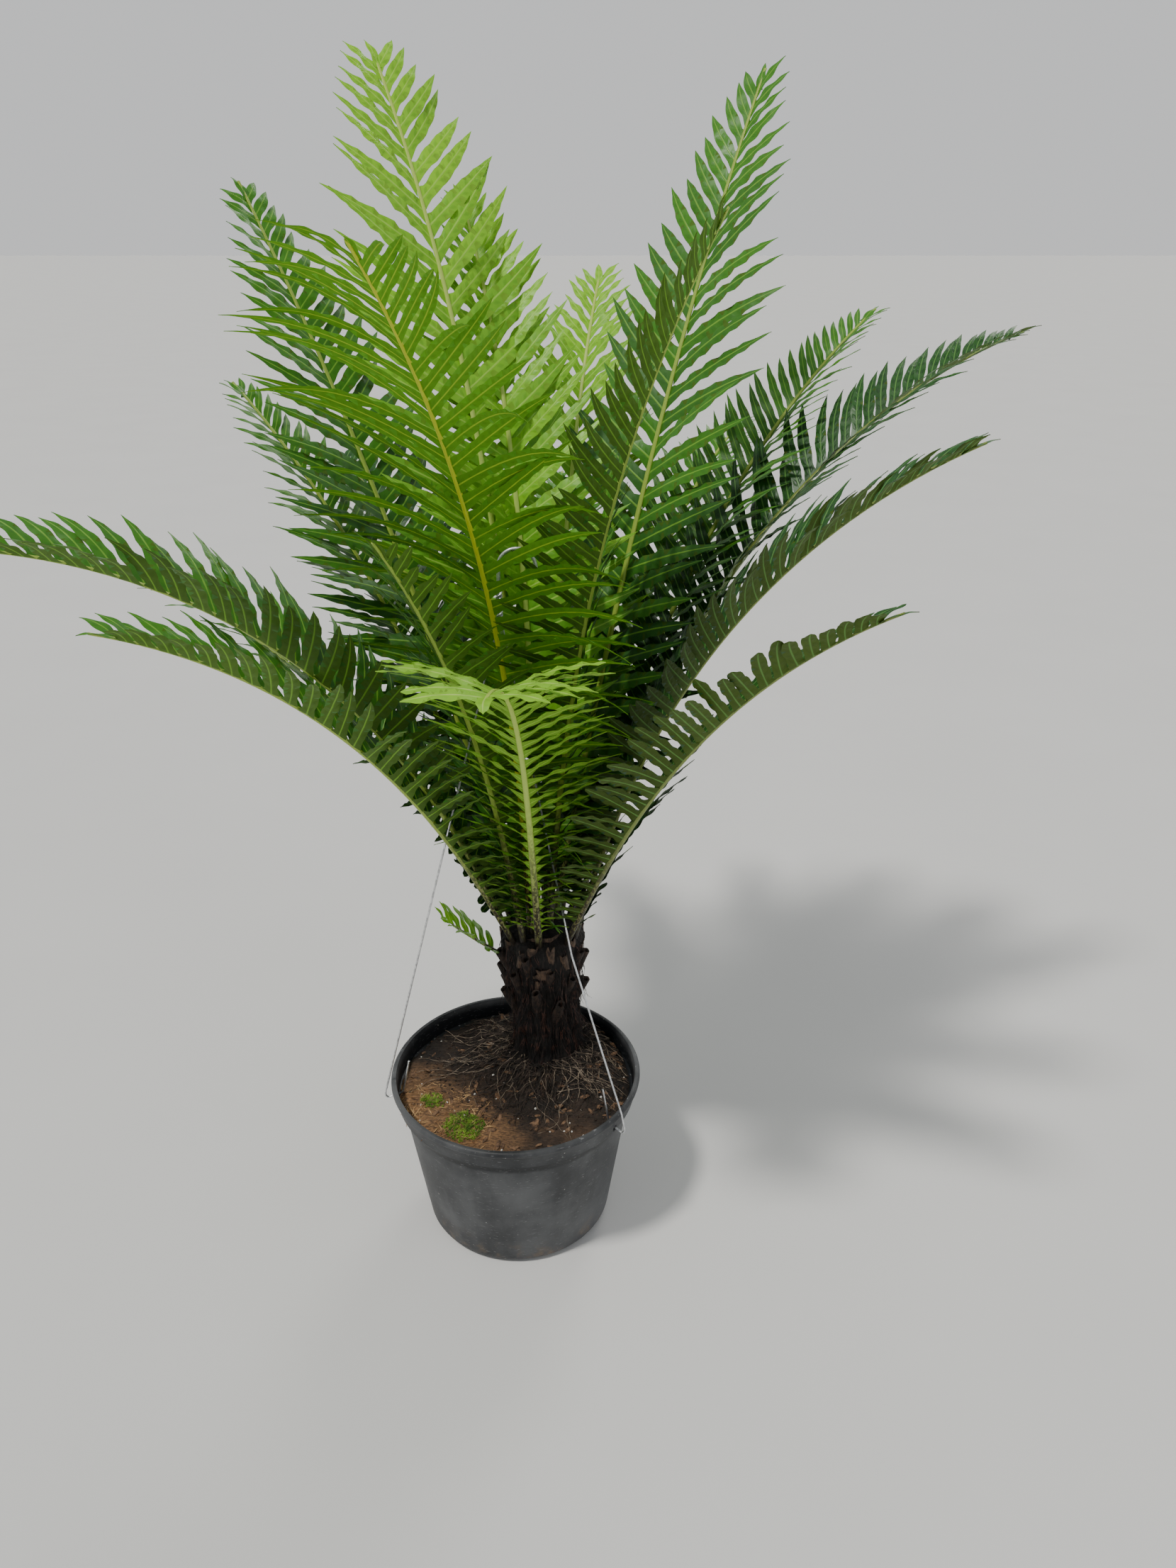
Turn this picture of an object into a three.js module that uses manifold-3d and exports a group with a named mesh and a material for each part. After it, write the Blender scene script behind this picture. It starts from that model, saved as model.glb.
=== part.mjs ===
// Potted dwarf tree fern in a black nursery pot with a three-wire hanger.
// Millimetres and degrees, +Z up. The origin is the middle of the pot's flat underside.
import * as THREE from 'three';
import { mergeVertices } from 'three/addons/utils/BufferGeometryUtils.js';
import Module from 'manifold-3d';

const wasm = await Module();
wasm.setup();

// Clearance between pieces that touch on the real plant
const GAP = 0.3;

// Ten inch nursery pot: a tapered tub, a collar band above a step, and a rolled lip
const POT = {
  height: 180,
  lip: 132.5,
  base: 100,
  corner: 12,
  shoulder: 121.5,
  shoulderHeight: 154,
  collar: 127.2,
  collarTop: 128.8,
  collarHeight: 172,
  wall: 2.2,
  segments: 48,
  notches: 8,
  notchRadius: 4.5,
};
const SOIL_HEIGHT = 160;

// Hanger: three wires clipped through holes in the collar, gathered under a twisted hook.
// The fronds have pushed the right wire aside, so it bends where it passes the foot of one.
const HANGER = {
  clips: { left: 190, right: 325, back: 83 },
  apex: new THREE.Vector3(-4, 30, 660),
  bends: { right: new THREE.Vector3(60, 17, 310) },
  gather: 2.5,
  wire: 1,
  holeHeight: 160.6,
  hole: 3.2,
  shankRadius: 3,
  shankHeight: 34,
  hookWire: 1.8,
  hookRadius: 17,
};

// Trunk: outline radius at each height, with the root flare at the soil and the crown at the top
const TRUNK = {
  foot: new THREE.Vector2(32, 57),
  crown: new THREE.Vector2(28, 62),
  sides: 20,
  outline: [
    [160.3, 50], [166, 46], [177, 42], [200, 39.5], [240, 38.5],
    [268, 39.5], [292, 42], [308, 42.5], [317, 37.5], [321.5, 25],
  ],
  top: 324,
  flareLobes: 7,
  flareDepth: 0.1,
  stubs: 16,
  stubHeight: 240,
  stubStep: 3.2,
  stubRoot: 32,
  stubReach: 47,
  stubRise: 26,
  stubRadii: [5.8, 4.6],
};

// Fronds: the rib leaves a ring on the crown and leans out further towards its tip.
// ring, rise: where the rib leaves the crown. azimuth, sweep: its heading and how far that turns.
// lean, arch: its angle from the vertical at the foot and at the tip. leaflet: the longest one.
// full: the share of the rib's length from which the leaflets grow shorter towards the tip.
const CROWN_HEIGHT = 315;
const FRONDS = [
  {
    name: 'frond_tall_left', ring: 16, azimuth: 126, sweep: 3, lean: 4, arch: 35,
    length: 890, leaflet: 155, full: 0.68,
  },
  {
    name: 'frond_tall_right', ring: 16, azimuth: 43, sweep: 0, lean: 14, arch: 27,
    length: 880, leaflet: 145, full: 0.62,
  },
  {
    name: 'frond_front_high', ring: 22, azimuth: 241, sweep: 2, lean: 3, arch: 44,
    length: 740, leaflet: 200, full: 0.75,
  },
  { name: 'frond_front_mid', ring: 34, azimuth: 237, sweep: 6, lean: 11, arch: 43, length: 527, leaflet: 110 },
  {
    name: 'frond_front_nodding', ring: 37, azimuth: 267, sweep: -4, lean: 18, arch: 111,
    length: 510, leaflet: 104, bend: 3.4, full: 0.78,
  },
  { name: 'frond_left_long', ring: 37, azimuth: 206, sweep: 0, lean: 20, arch: 92, length: 740, leaflet: 120 },
  { name: 'frond_left_low', ring: 39, azimuth: 220, sweep: 2, lean: 25, arch: 71, length: 590, leaflet: 112 },
  { name: 'frond_front_right', ring: 12, azimuth: 313, sweep: 35, lean: 5, arch: 28, length: 736, leaflet: 130 },
  { name: 'frond_right_low', ring: 39, azimuth: 313, sweep: 0, lean: 26, arch: 62, length: 590, leaflet: 100 },
  { name: 'frond_right_mid', ring: 38, azimuth: 339, sweep: 0, lean: 15, arch: 65, length: 670, leaflet: 120 },
  { name: 'frond_right_high', ring: 34, azimuth: 16, sweep: 2, lean: 16, arch: 76, length: 800, leaflet: 130 },
  { name: 'frond_right_back', ring: 34, azimuth: 34, sweep: 0, lean: 17, arch: 59, length: 750, leaflet: 130 },
  { name: 'frond_left_back_high', ring: 28, azimuth: 143, sweep: -1, lean: 20, arch: 35, length: 820, leaflet: 148 },
  { name: 'frond_left_back_low', ring: 39, azimuth: 152, sweep: -1, lean: 18, arch: 51, length: 650, leaflet: 120 },
  { name: 'frond_back_high', ring: 32, azimuth: 102, sweep: 12, lean: -1, arch: 45, length: 780, leaflet: 140 },
  { name: 'frond_back_right', ring: 38, azimuth: 60, sweep: 0, lean: 24, arch: 76, length: 680, leaflet: 130 },
  { name: 'frond_back_mid', ring: 22, azimuth: 80, sweep: 0, lean: 12, arch: 56, length: 760, leaflet: 140 },
  { name: 'frond_back_low', ring: 40, azimuth: 88, sweep: 0, lean: 28, arch: 80, length: 620, leaflet: 120 },
  { name: 'frond_back_left', ring: 40, azimuth: 122, sweep: 0, lean: 28, arch: 78, length: 660, leaflet: 125 },
  { name: 'frond_left_short', ring: 39, azimuth: 175, sweep: 0, lean: 27, arch: 72, length: 560, leaflet: 115 },
  { name: 'frond_stunted', ring: 42, rise: 288, azimuth: 196, sweep: 0, lean: 50, arch: 44, length: 92, leaflet: 46 },
];
const BLADE = {
  bend: 1.6,
  full: 0.5,
  root: 22,
  stalk: 40,
  pitch: 43,
  tip: 46,
  thickness: 1.7,
  ribWidth: [8, 2.4],
  ribDepth: [6.4, 2],
  trough: 22,
  forward: [82, 42],
  fullness: 0.68,
  curl: 0.28,
  droop: 0.16,
};
// What a leaflet that would touch another limb tries in turn: its share of the length, its extra rise
const TRIES = [
  [1, 0], [1, -16], [1, 14], [0.8, 0], [0.8, -16], [0.8, 14], [0.55, 0], [0.55, -16], [0.55, 14],
];

const COLOURS = {
  pot: ['#2b2e31', 0.5, 0],
  soil: ['#4a3826', 1, 0],
  trunk: ['#241b14', 0.95, 0],
  wire: ['#9a9ea1', 0.4, 1],
  frond: ['#4f8a2c', 0.5, 0],
};
const plant = new THREE.Group();

const radians = THREE.MathUtils.degToRad;

function polar(radius, azimuth, height) {
  const angle = radians(azimuth);
  return new THREE.Vector3(radius * Math.cos(angle), radius * Math.sin(angle), height);
}

function geometryFrom(points, faces) {
  const geometry = new THREE.BufferGeometry();
  geometry.setAttribute('position', new THREE.Float32BufferAttribute(points.flatMap((p) => [p.x, p.y, p.z]), 3));
  geometry.setIndex(faces.flat());
  return geometry;
}

// A closed solid of a geometry whose shared corners are merged first
function solidOf(geometry) {
  geometry.deleteAttribute('normal');
  geometry.deleteAttribute('uv');
  const merged = mergeVertices(geometry, 1e-4);
  const index = Array.from(merged.index.array);
  const corners = [];
  for (let i = 0; i < index.length; i += 3) {
    const [a, b, c] = index.slice(i, i + 3);
    if (a !== b && b !== c && c !== a) corners.push(a, b, c);
  }
  return new wasm.Manifold(new wasm.Mesh({
    numProp: 3,
    vertProperties: new Float32Array(merged.attributes.position.array),
    triVerts: new Uint32Array(corners),
  }));
}

function addPiece(name, solid, colour) {
  const { vertProperties, triVerts } = solid.getMesh();
  const geometry = new THREE.BufferGeometry();
  geometry.setAttribute('position', new THREE.BufferAttribute(vertProperties, 3));
  geometry.setIndex(new THREE.BufferAttribute(triVerts, 1));
  geometry.computeVertexNormals();
  const [color, roughness, metalness] = COLOURS[colour];
  const mesh = new THREE.Mesh(geometry, new THREE.MeshStandardMaterial({ color, roughness, metalness }));
  mesh.name = name;
  plant.add(mesh);
}

// A solid of revolution about the Z axis, from its outline of [radius, height] points
function turned(outline) {
  const profile = outline.map(([radius, height]) => new THREE.Vector2(radius, height));
  return solidOf(new THREE.LatheGeometry(profile, POT.segments).rotateX(Math.PI / 2));
}

// A round bar along a list of points, with a radius at each point
function bar(points, radii, sides) {
  const corners = [];
  const faces = [];
  const last = points.length - 1;
  const across = new THREE.Vector3(0.31, 0.95, 0.1);
  points.forEach((point, k) => {
    const along = points[Math.min(k + 1, last)].clone().sub(points[Math.max(k - 1, 0)]).normalize();
    across.addScaledVector(along, -across.dot(along)).normalize();
    const beside = along.clone().cross(across);
    for (let j = 0; j < sides; j += 1) {
      const turn = (2 * Math.PI * j) / sides;
      corners.push(point.clone()
        .addScaledVector(across, radii[k] * Math.cos(turn))
        .addScaledVector(beside, radii[k] * Math.sin(turn)));
    }
  });
  for (let k = 0; k < last; k += 1) {
    for (let j = 0; j < sides; j += 1) {
      const a = k * sides + j;
      const b = k * sides + ((j + 1) % sides);
      faces.push([a, b, b + sides], [a, b + sides, a + sides]);
    }
  }
  for (let j = 1; j < sides - 1; j += 1) {
    faces.push([0, j + 1, j], [last * sides, last * sides + j, last * sides + j + 1]);
  }
  return solidOf(geometryFrom(corners, faces));
}

// The pot is one moulding, with a hole in the collar for each wire and drain notches round its foot
const inside = [
  [0, POT.wall + 0.3],
  [POT.base - POT.corner, POT.wall + 0.3],
  [POT.base - POT.wall - 3, 5],
  [POT.base - POT.wall, POT.corner],
  [POT.shoulder - POT.wall, POT.shoulderHeight + 1],
  [POT.collar - POT.wall, POT.shoulderHeight + 4.5],
];
const outside = [
  [0, 0],
  [POT.base - POT.corner, 0],
  [POT.base - POT.corner * 0.29, POT.corner * 0.29],
  [POT.base, POT.corner],
  [POT.shoulder, POT.shoulderHeight],
  [POT.collar, POT.shoulderHeight + 2.5],
  [POT.collarTop, POT.collarHeight],
  [POT.lip - 1, POT.collarHeight + 1.6],
  [POT.lip, POT.height - 3.4],
  [POT.lip - 0.7, POT.height - 0.9],
  [POT.lip - 2.4, POT.height],
  [POT.lip - 5, POT.height - 1],
  [POT.collarTop - POT.wall, POT.collarHeight],
];
let pot = turned([...outside, ...inside.toReversed()]);

function radialCutter(radius, sides, length, azimuth, distance, height) {
  const cutter = new THREE.CylinderGeometry(radius, radius, length, sides);
  cutter.rotateZ(Math.PI / 2).translate(distance, 0, height).rotateZ(radians(azimuth));
  return solidOf(cutter);
}

for (const azimuth of Object.values(HANGER.clips)) {
  pot = pot.subtract(radialCutter(HANGER.hole, 10, 16, azimuth, POT.collar, HANGER.holeHeight));
}
for (let k = 0; k < POT.notches; k += 1) {
  pot = pot.subtract(radialCutter(POT.notchRadius, 8, 20, (360 * (k + 0.5)) / POT.notches, POT.base + 2, 0));
}
addPiece('pot', pot, 'pot');

// The soil fills the pot to a flat top that the trunk stands on
const soilSide = inside.map(([radius, height]) => [Math.max(radius - GAP, 0), height + GAP]);
const soilEdge = POT.collar - POT.wall - GAP + 0.4;
addPiece('soil', turned([...soilSide, [soilEdge, SOIL_HEIGHT], [0, SOIL_HEIGHT]]), 'soil');

// The trunk: rings about an axis that leans a little, lobed where the roots flare at the foot
function trunkBody(grow) {
  const corners = [];
  const faces = [];
  const { outline, sides, top } = TRUNK;
  const foot = outline[0][0];
  outline.forEach(([height, radius], k) => {
    const centre = TRUNK.foot.clone().lerp(TRUNK.crown, (height - foot) / (top - foot));
    const flare = TRUNK.flareDepth * Math.max(0, 1 - (height - foot) / 45);
    for (let j = 0; j < sides; j += 1) {
      const azimuth = (360 * j) / sides;
      const lobe = 1 + flare * Math.cos(radians(TRUNK.flareLobes * azimuth));
      const ripple = 1 + 0.035 * Math.sin(radians(3 * azimuth + 50 * k));
      const corner = polar(radius * lobe * ripple + grow, azimuth, height + (k > 0 ? grow : 0));
      corners.push(corner.add(new THREE.Vector3(centre.x, centre.y, 0)));
    }
  });
  const last = (outline.length - 1) * sides;
  for (let k = 0; k < last; k += sides) {
    for (let j = 0; j < sides; j += 1) {
      const a = k + j;
      const b = k + ((j + 1) % sides);
      faces.push([a, b, b + sides], [a, b + sides, a + sides]);
    }
  }
  corners.push(new THREE.Vector3(TRUNK.foot.x, TRUNK.foot.y, foot));
  corners.push(new THREE.Vector3(TRUNK.crown.x, TRUNK.crown.y, top + grow));
  for (let j = 0; j < sides; j += 1) {
    const next = (j + 1) % sides;
    faces.push([last + sides, next, j], [last + sides + 1, last + j, last + next]);
  }
  return solidOf(geometryFrom(corners, faces));
}

// Stumps of old fronds stand out of the trunk below the crown, in the spiral they grew in
function stub(k) {
  const azimuth = 137.5 * k + 20;
  const height = TRUNK.stubHeight + TRUNK.stubStep * k;
  const centre = new THREE.Vector3(TRUNK.crown.x, TRUNK.crown.y, 0);
  const root = polar(TRUNK.stubRoot, azimuth, height - TRUNK.stubRise / 2).add(centre);
  const end = polar(TRUNK.stubReach + (k % 3), azimuth, height + TRUNK.stubRise / 2).add(centre);
  return bar([root, end], TRUNK.stubRadii, 6);
}

let trunk = trunkBody(0);
for (let k = 0; k < TRUNK.stubs; k += 1) {
  trunk = trunk.add(stub(k));
}
addPiece('trunk', trunk, 'trunk');

// Each hanger wire comes down outside the lip, turns in through its hole and up the inside
const obstacles = [];

function addObstacle(solid, owner) {
  const { min, max } = solid.boundingBox();
  obstacles.push({ solid, owner, box: new THREE.Box3(new THREE.Vector3(...min), new THREE.Vector3(...max)) });
}

function hangerWire(side, azimuth) {
  const clip = polar(POT.lip + 6.1, azimuth, 168);
  const bend = HANGER.bends[side];
  const down = bend ? [bend, polar(POT.lip + 2.6, azimuth, POT.height + 3), clip] : [clip];
  const heading = down[0].clone().sub(HANGER.apex);
  const top = new THREE.Vector3(heading.x, heading.y, 0).setLength(HANGER.gather).add(HANGER.apex);
  const holeTop = HANGER.holeHeight + HANGER.hole - HANGER.wire - GAP - 0.25;
  const turn = [
    [POT.lip + 6.6, 163.5], [POT.lip + 5.4, 160.4], [POT.lip + 2.4, 159.4],
    [POT.collar + 2, holeTop - 0.6], [POT.collar - 2, holeTop],
    [POT.collar - 6, holeTop + 2.6], [POT.collar - 8, holeTop + 7], [POT.collar - 15, 203],
  ].map(([radius, height]) => polar(radius, azimuth, height));
  const points = [top, ...down, ...turn];
  return bar(points, points.map(() => HANGER.wire), 6);
}

for (const [side, azimuth] of Object.entries(HANGER.clips)) {
  const wire = hangerWire(side, azimuth);
  addObstacle(wire, 'hanger');
  addPiece(`hanger_wire_${side}`, wire, 'wire');
}

// The hook: a thick twisted shank that thins into a crook in the XZ plane, open towards +X
const shankTop = HANGER.shankHeight + 16;
const crook = [[0, GAP], [0, HANGER.shankHeight - 6], [0, HANGER.shankHeight], [0, shankTop]];
for (let turn = 160; turn >= -40; turn -= 25) {
  const reach = HANGER.hookRadius * (1 + Math.cos(radians(turn)));
  crook.push([reach, shankTop + 6 + HANGER.hookRadius * Math.sin(radians(turn))]);
}
const crookPoints = crook.map(([reach, rise]) => new THREE.Vector3(reach, 0, rise).add(HANGER.apex));
const crookRadii = crook.map((_, k) => (k < 2 ? HANGER.shankRadius : HANGER.hookWire));
const hook = bar(crookPoints, crookRadii, 6);
addObstacle(hook, 'hanger');
addPiece('hanger_hook', hook, 'wire');

// Nothing grows through the space inside the crook
const hookSpace = new THREE.BoxGeometry(2 * HANGER.hookRadius, 12, 2 * HANGER.hookRadius + 8);
hookSpace.translate(HANGER.hookRadius, 0, shankTop + 2);
hookSpace.translate(HANGER.apex.x, HANGER.apex.y, HANGER.apex.z);
addObstacle(solidOf(hookSpace), 'hanger');
addObstacle(trunk, 'trunk');

// Directions of a rib at the share s of its length: along it, out of its upper face, and to the right
function ribDirections(frond, s) {
  const lean = radians(frond.lean + (frond.arch - frond.lean) * s ** (frond.bend ?? BLADE.bend));
  const azimuth = radians(frond.azimuth + frond.sweep * s);
  const out = new THREE.Vector3(Math.cos(azimuth), Math.sin(azimuth), 0);
  const along = out.clone().multiplyScalar(Math.sin(lean)).setZ(Math.cos(lean));
  const up = out.clone().multiplyScalar(-Math.cos(lean)).setZ(Math.sin(lean));
  return { along, up, right: along.clone().cross(up) };
}

// Stations along a rib: one inside the trunk, one at each end of every leaflet's base
function ribStations(frond) {
  const small = frond.leaflet / 150;
  const stalk = frond.length > 200 ? BLADE.stalk : 12;
  const tip = frond.length > 200 ? BLADE.tip : 10;
  const pitch = frond.length > 200 ? BLADE.pitch : 22;
  const count = Math.round((frond.length - stalk - tip) / pitch);
  const shares = [];
  for (let i = 0; i <= count; i += 1) {
    shares.push((stalk + ((frond.length - stalk - tip) * i) / count) / frond.length);
  }
  shares.push(1);
  const point = polar(frond.ring, frond.azimuth, frond.rise ?? CROWN_HEIGHT);
  point.add(new THREE.Vector3(TRUNK.crown.x, TRUNK.crown.y, 0));
  const start = ribDirections(frond, 0);
  const stations = [{ s: 0, point: point.clone().addScaledVector(start.along, -BLADE.root), ...start }];
  const substeps = 6;
  let from = 0;
  for (const s of shares) {
    const step = (s - from) / substeps;
    for (let j = 0; j < substeps; j += 1) {
      point.addScaledVector(ribDirections(frond, from + step * (j + 0.5)).along, step * frond.length);
    }
    stations.push({ s, point: point.clone(), ...ribDirections(frond, s) });
    from = s;
  }
  const scale = 0.45 + 0.55 * Math.min(1, small * 1.3);
  for (const station of stations) {
    station.width = scale * THREE.MathUtils.lerp(...BLADE.ribWidth, station.s);
    station.depth = scale * THREE.MathUtils.lerp(...BLADE.ribDepth, station.s);
  }
  return stations;
}

// Four corners of the rib at a station: right and left of the upper face, then of the lower face
function ribCorners({ point, up, right, width, depth }) {
  return [[1, 1], [-1, 1], [1, -1], [-1, -1]].map(([sideways, upward]) => point.clone()
    .addScaledVector(right, (sideways * width) / 2)
    .addScaledVector(up, (upward * depth) / 2));
}

// How long a leaflet is, as a share of the longest: short at the foot, longest past the middle
function leafletShare(frond, s) {
  const full = frond.full ?? BLADE.full;
  const rise = 0.2 + 0.8 * Math.sin((Math.PI / 2) * Math.min(1, s / 0.5)) ** 1.3;
  const fall = 1 - 0.88 * Math.max(0, (s - full) / (1 - full)) ** 1.6;
  return rise * fall;
}

// The outline of a leaflet between two stations: its two shoulders and its tip, in the middle plane
function leafletOutline(frond, from, to, side, [shorter, rise]) {
  const s = (from.s + to.s) / 2;
  const angle = radians(THREE.MathUtils.lerp(...BLADE.forward, s));
  const trough = radians(BLADE.trough + rise);
  const outward = from.right.clone().multiplyScalar(side * Math.cos(trough))
    .addScaledVector(from.up, Math.sin(trough));
  const heading = from.along.clone().multiplyScalar(Math.cos(angle))
    .addScaledVector(outward, Math.sin(angle));
  const length = frond.leaflet * leafletShare(frond, s) * shorter;
  const base = from.point.clone().lerp(to.point, 0.5);
  const middle = base.clone().addScaledVector(heading, 0.48 * length);
  const tipHeading = heading.clone().addScaledVector(from.along, BLADE.curl)
    .addScaledVector(from.up, -BLADE.droop).normalize();
  const tip = middle.clone().addScaledVector(tipHeading, 0.52 * length);
  const broad = from.along.clone().addScaledVector(heading, -from.along.dot(heading)).normalize();
  const half = 0.5 * BLADE.fullness * from.point.distanceTo(to.point) * Math.sin(angle);
  const near = middle.clone().addScaledVector(broad, -half);
  const far = middle.clone().addScaledVector(broad, half);
  const face = heading.clone().cross(broad).multiplyScalar(side).normalize();
  return { outline: [near, tip, far], face };
}

// The six free corners of a leaflet: the outline raised to the upper face, then to the lower face
function leafletCorners({ outline, face }, thickness) {
  const lifted = (height) => outline.map((corner) => corner.clone().addScaledVector(face, height));
  return [...lifted(thickness / 2), ...lifted(-thickness / 2)];
}

// Faces of a leaflet from the numbers of its base corners and its free corners
function leafletFaces(baseUp, baseLow, free, side) {
  const upper = [baseUp[0], free, free + 1, free + 2, baseUp[1]];
  const lower = [baseLow[0], free + 3, free + 4, free + 5, baseLow[1]];
  const faces = [];
  for (const [a, b, c] of [[0, 1, 4], [1, 3, 4], [1, 2, 3]]) {
    faces.push([upper[a], upper[b], upper[c]], [lower[a], lower[c], lower[b]]);
  }
  for (let k = 0; k < 4; k += 1) {
    faces.push([upper[k], lower[k], lower[k + 1]], [upper[k], lower[k + 1], upper[k + 1]]);
  }
  return side > 0 ? faces : faces.map((face) => face.toReversed());
}

// A leaflet by itself, a little thick, to try against what is there already
function trialLeaflet(from, to, side, shape) {
  const edge = side > 0 ? [0, 2] : [1, 3];
  const [fromCorners, toCorners] = [ribCorners(from), ribCorners(to)];
  const corners = [fromCorners[edge[0]], toCorners[edge[0]], fromCorners[edge[1]], toCorners[edge[1]]];
  corners.push(...leafletCorners(shape, BLADE.thickness + 3 * GAP));
  const faces = leafletFaces([0, 1], [2, 3], 4, side);
  const closing = side > 0 ? [[0, 1, 3], [0, 3, 2]] : [[0, 3, 1], [0, 2, 3]];
  return solidOf(geometryFrom(corners, [...faces, ...closing]));
}

function isClear(trial, owner) {
  const { min, max } = trial.boundingBox();
  const box = new THREE.Box3(new THREE.Vector3(...min), new THREE.Vector3(...max)).expandByScalar(GAP);
  return !obstacles.some((other) => other.owner !== owner && other.box.intersectsBox(box)
    && !other.solid.intersect(trial).isEmpty());
}

// The bare rib, which every other frond's leaflets keep clear of
function bareRib(stations) {
  const corners = stations.flatMap(ribCorners);
  const faces = [];
  for (let i = 0; i < stations.length - 1; i += 1) {
    faces.push(...ribFaces(i), ...ribWall(i, 1), ...ribWall(i, -1));
  }
  faces.push(...ribEnds(stations.length - 1));
  return solidOf(geometryFrom(corners, faces));
}

function ribFaces(i) {
  const [a, b] = [4 * i, 4 * i + 4];
  return [[a, b, b + 1], [a, b + 1, a + 1], [a + 3, b + 3, b + 2], [a + 3, b + 2, a + 2]];
}

function ribWall(i, side) {
  const [a, b] = [4 * i, 4 * i + 4];
  return side > 0
    ? [[a + 2, b + 2, b], [a + 2, b, a]]
    : [[a + 1, b + 1, b + 3], [a + 1, b + 3, a + 3]];
}

function ribEnds(last) {
  const b = 4 * last;
  return [[0, 1, 3], [0, 3, 2], [b, b + 3, b + 1], [b, b + 2, b + 3]];
}

// A frond: its rib and every leaflet that stays clear, cut off where it meets the trunk
function frondSolid(frond, stations, trunkSkin) {
  const corners = stations.flatMap(ribCorners);
  const faces = [];
  const lastLeaflet = stations.length - 2;
  for (let i = 0; i < stations.length - 1; i += 1) {
    faces.push(...ribFaces(i));
    for (const side of [1, -1]) {
      const shape = i > 0 && i < lastLeaflet ? clearLeaflet(frond, stations, i, side) : null;
      if (shape) {
        const edge = side > 0 ? [0, 2] : [1, 3];
        const [low, high] = [4 * i, 4 * i + 4];
        faces.push(...leafletFaces(
          [low + edge[0], high + edge[0]],
          [low + edge[1], high + edge[1]],
          corners.length,
          side,
        ));
        corners.push(...leafletCorners(shape, BLADE.thickness));
      } else {
        faces.push(...ribWall(i, side));
      }
    }
  }
  faces.push(...ribEnds(stations.length - 1));
  return solidOf(geometryFrom(corners, faces)).subtract(trunkSkin);
}

function clearLeaflet(frond, stations, i, side) {
  for (const attempt of TRIES) {
    const shape = leafletOutline(frond, stations[i], stations[i + 1], side, attempt);
    const trial = trialLeaflet(stations[i], stations[i + 1], side, shape);
    if (isClear(trial, frond.name)) {
      addObstacle(trial, frond.name);
      return shape;
    }
  }
  return null;
}

const ribs = FRONDS.map((frond) => ribStations(frond));
ribs.forEach((stations, k) => addObstacle(bareRib(stations), FRONDS[k].name));
const trunkSkin = trunkBody(GAP);
FRONDS.forEach((frond, k) => addPiece(frond.name, frondSolid(frond, ribs[k], trunkSkin), 'frond'));

export default plant;
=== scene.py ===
"""Potted dwarf tree fern: the looks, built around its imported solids. Metres, +Z up."""

import math
import random
from collections import namedtuple

import bmesh
import bpy
import numpy as np
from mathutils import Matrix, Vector, noise


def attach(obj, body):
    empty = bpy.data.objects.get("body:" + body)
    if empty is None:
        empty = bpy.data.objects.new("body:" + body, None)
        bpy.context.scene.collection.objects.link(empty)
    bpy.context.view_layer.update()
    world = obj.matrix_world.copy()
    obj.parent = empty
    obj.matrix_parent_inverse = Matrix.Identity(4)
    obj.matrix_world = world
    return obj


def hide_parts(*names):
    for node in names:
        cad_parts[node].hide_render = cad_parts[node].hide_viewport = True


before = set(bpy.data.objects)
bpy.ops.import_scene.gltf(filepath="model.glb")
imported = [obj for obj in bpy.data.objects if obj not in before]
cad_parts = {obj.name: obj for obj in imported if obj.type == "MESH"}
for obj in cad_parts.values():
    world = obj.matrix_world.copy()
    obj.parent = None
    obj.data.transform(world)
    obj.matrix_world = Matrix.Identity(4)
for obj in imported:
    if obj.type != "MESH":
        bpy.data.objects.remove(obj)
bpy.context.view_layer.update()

# Camera
# The photograph was taken from the front at about head height, looking down on the plant.
CAMERA_PLACE = (0.077, -1.013, 0.989)
CAMERA_DIP_DEG = 25.1
FOCAL_LENGTH_PX = 1661
PHOTO_HEIGHT_PX = 2212
SENSOR_MM = 36
camera_data = bpy.data.cameras.new("camera")
camera_data.sensor_width = SENSOR_MM
camera_data.lens = SENSOR_MM * FOCAL_LENGTH_PX / PHOTO_HEIGHT_PX
camera = bpy.data.objects.new("camera", camera_data)
camera.location = CAMERA_PLACE
camera.rotation_euler = (math.radians(90 - CAMERA_DIP_DEG), 0, 0)
bpy.context.scene.collection.objects.link(camera)
bpy.context.scene.camera = camera

# Pot
# A ten inch nursery pot, injection moulded in thin black plastic: a tapered tub, a collar band above
# a step, and a rolled lip. Three round holes in the collar take the hanger, notches at the foot drain it.
MM = 0.001
POT_HEIGHT = 180 * MM
LIP_RADIUS = 132.5 * MM
BASE_RADIUS = 100 * MM
BASE_CORNER = 12 * MM
SHOULDER_RADIUS = 121.5 * MM
SHOULDER_HEIGHT = 154 * MM
COLLAR_RADIUS = 127.2 * MM
COLLAR_TOP_RADIUS = 128.8 * MM
COLLAR_HEIGHT = 172 * MM
LIP_ROLL = 3.6 * MM
POT_WALL = 2.2 * MM
POT_FLOOR = POT_WALL + 0.3 * MM
POT_SEGMENTS = 160
CLIP_AZIMUTHS = {"left": 190, "right": 325, "back": 83}
HOLE_HEIGHT = 160.6 * MM
HOLE_RADIUS = 3.2 * MM
HOLE_SIDES = 20
HOLE_CUT = 16 * MM
NOTCHES = 8
NOTCH_RADIUS = 4.5 * MM
NOTCH_SIDES = 16
NOTCH_CUT = 20 * MM


def polar(radius, azimuth, height):
    """The point at that radius and azimuth in degrees round the Z axis, at that height."""
    angle = math.radians(azimuth)
    return Vector((radius * math.cos(angle), radius * math.sin(angle), height))


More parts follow.
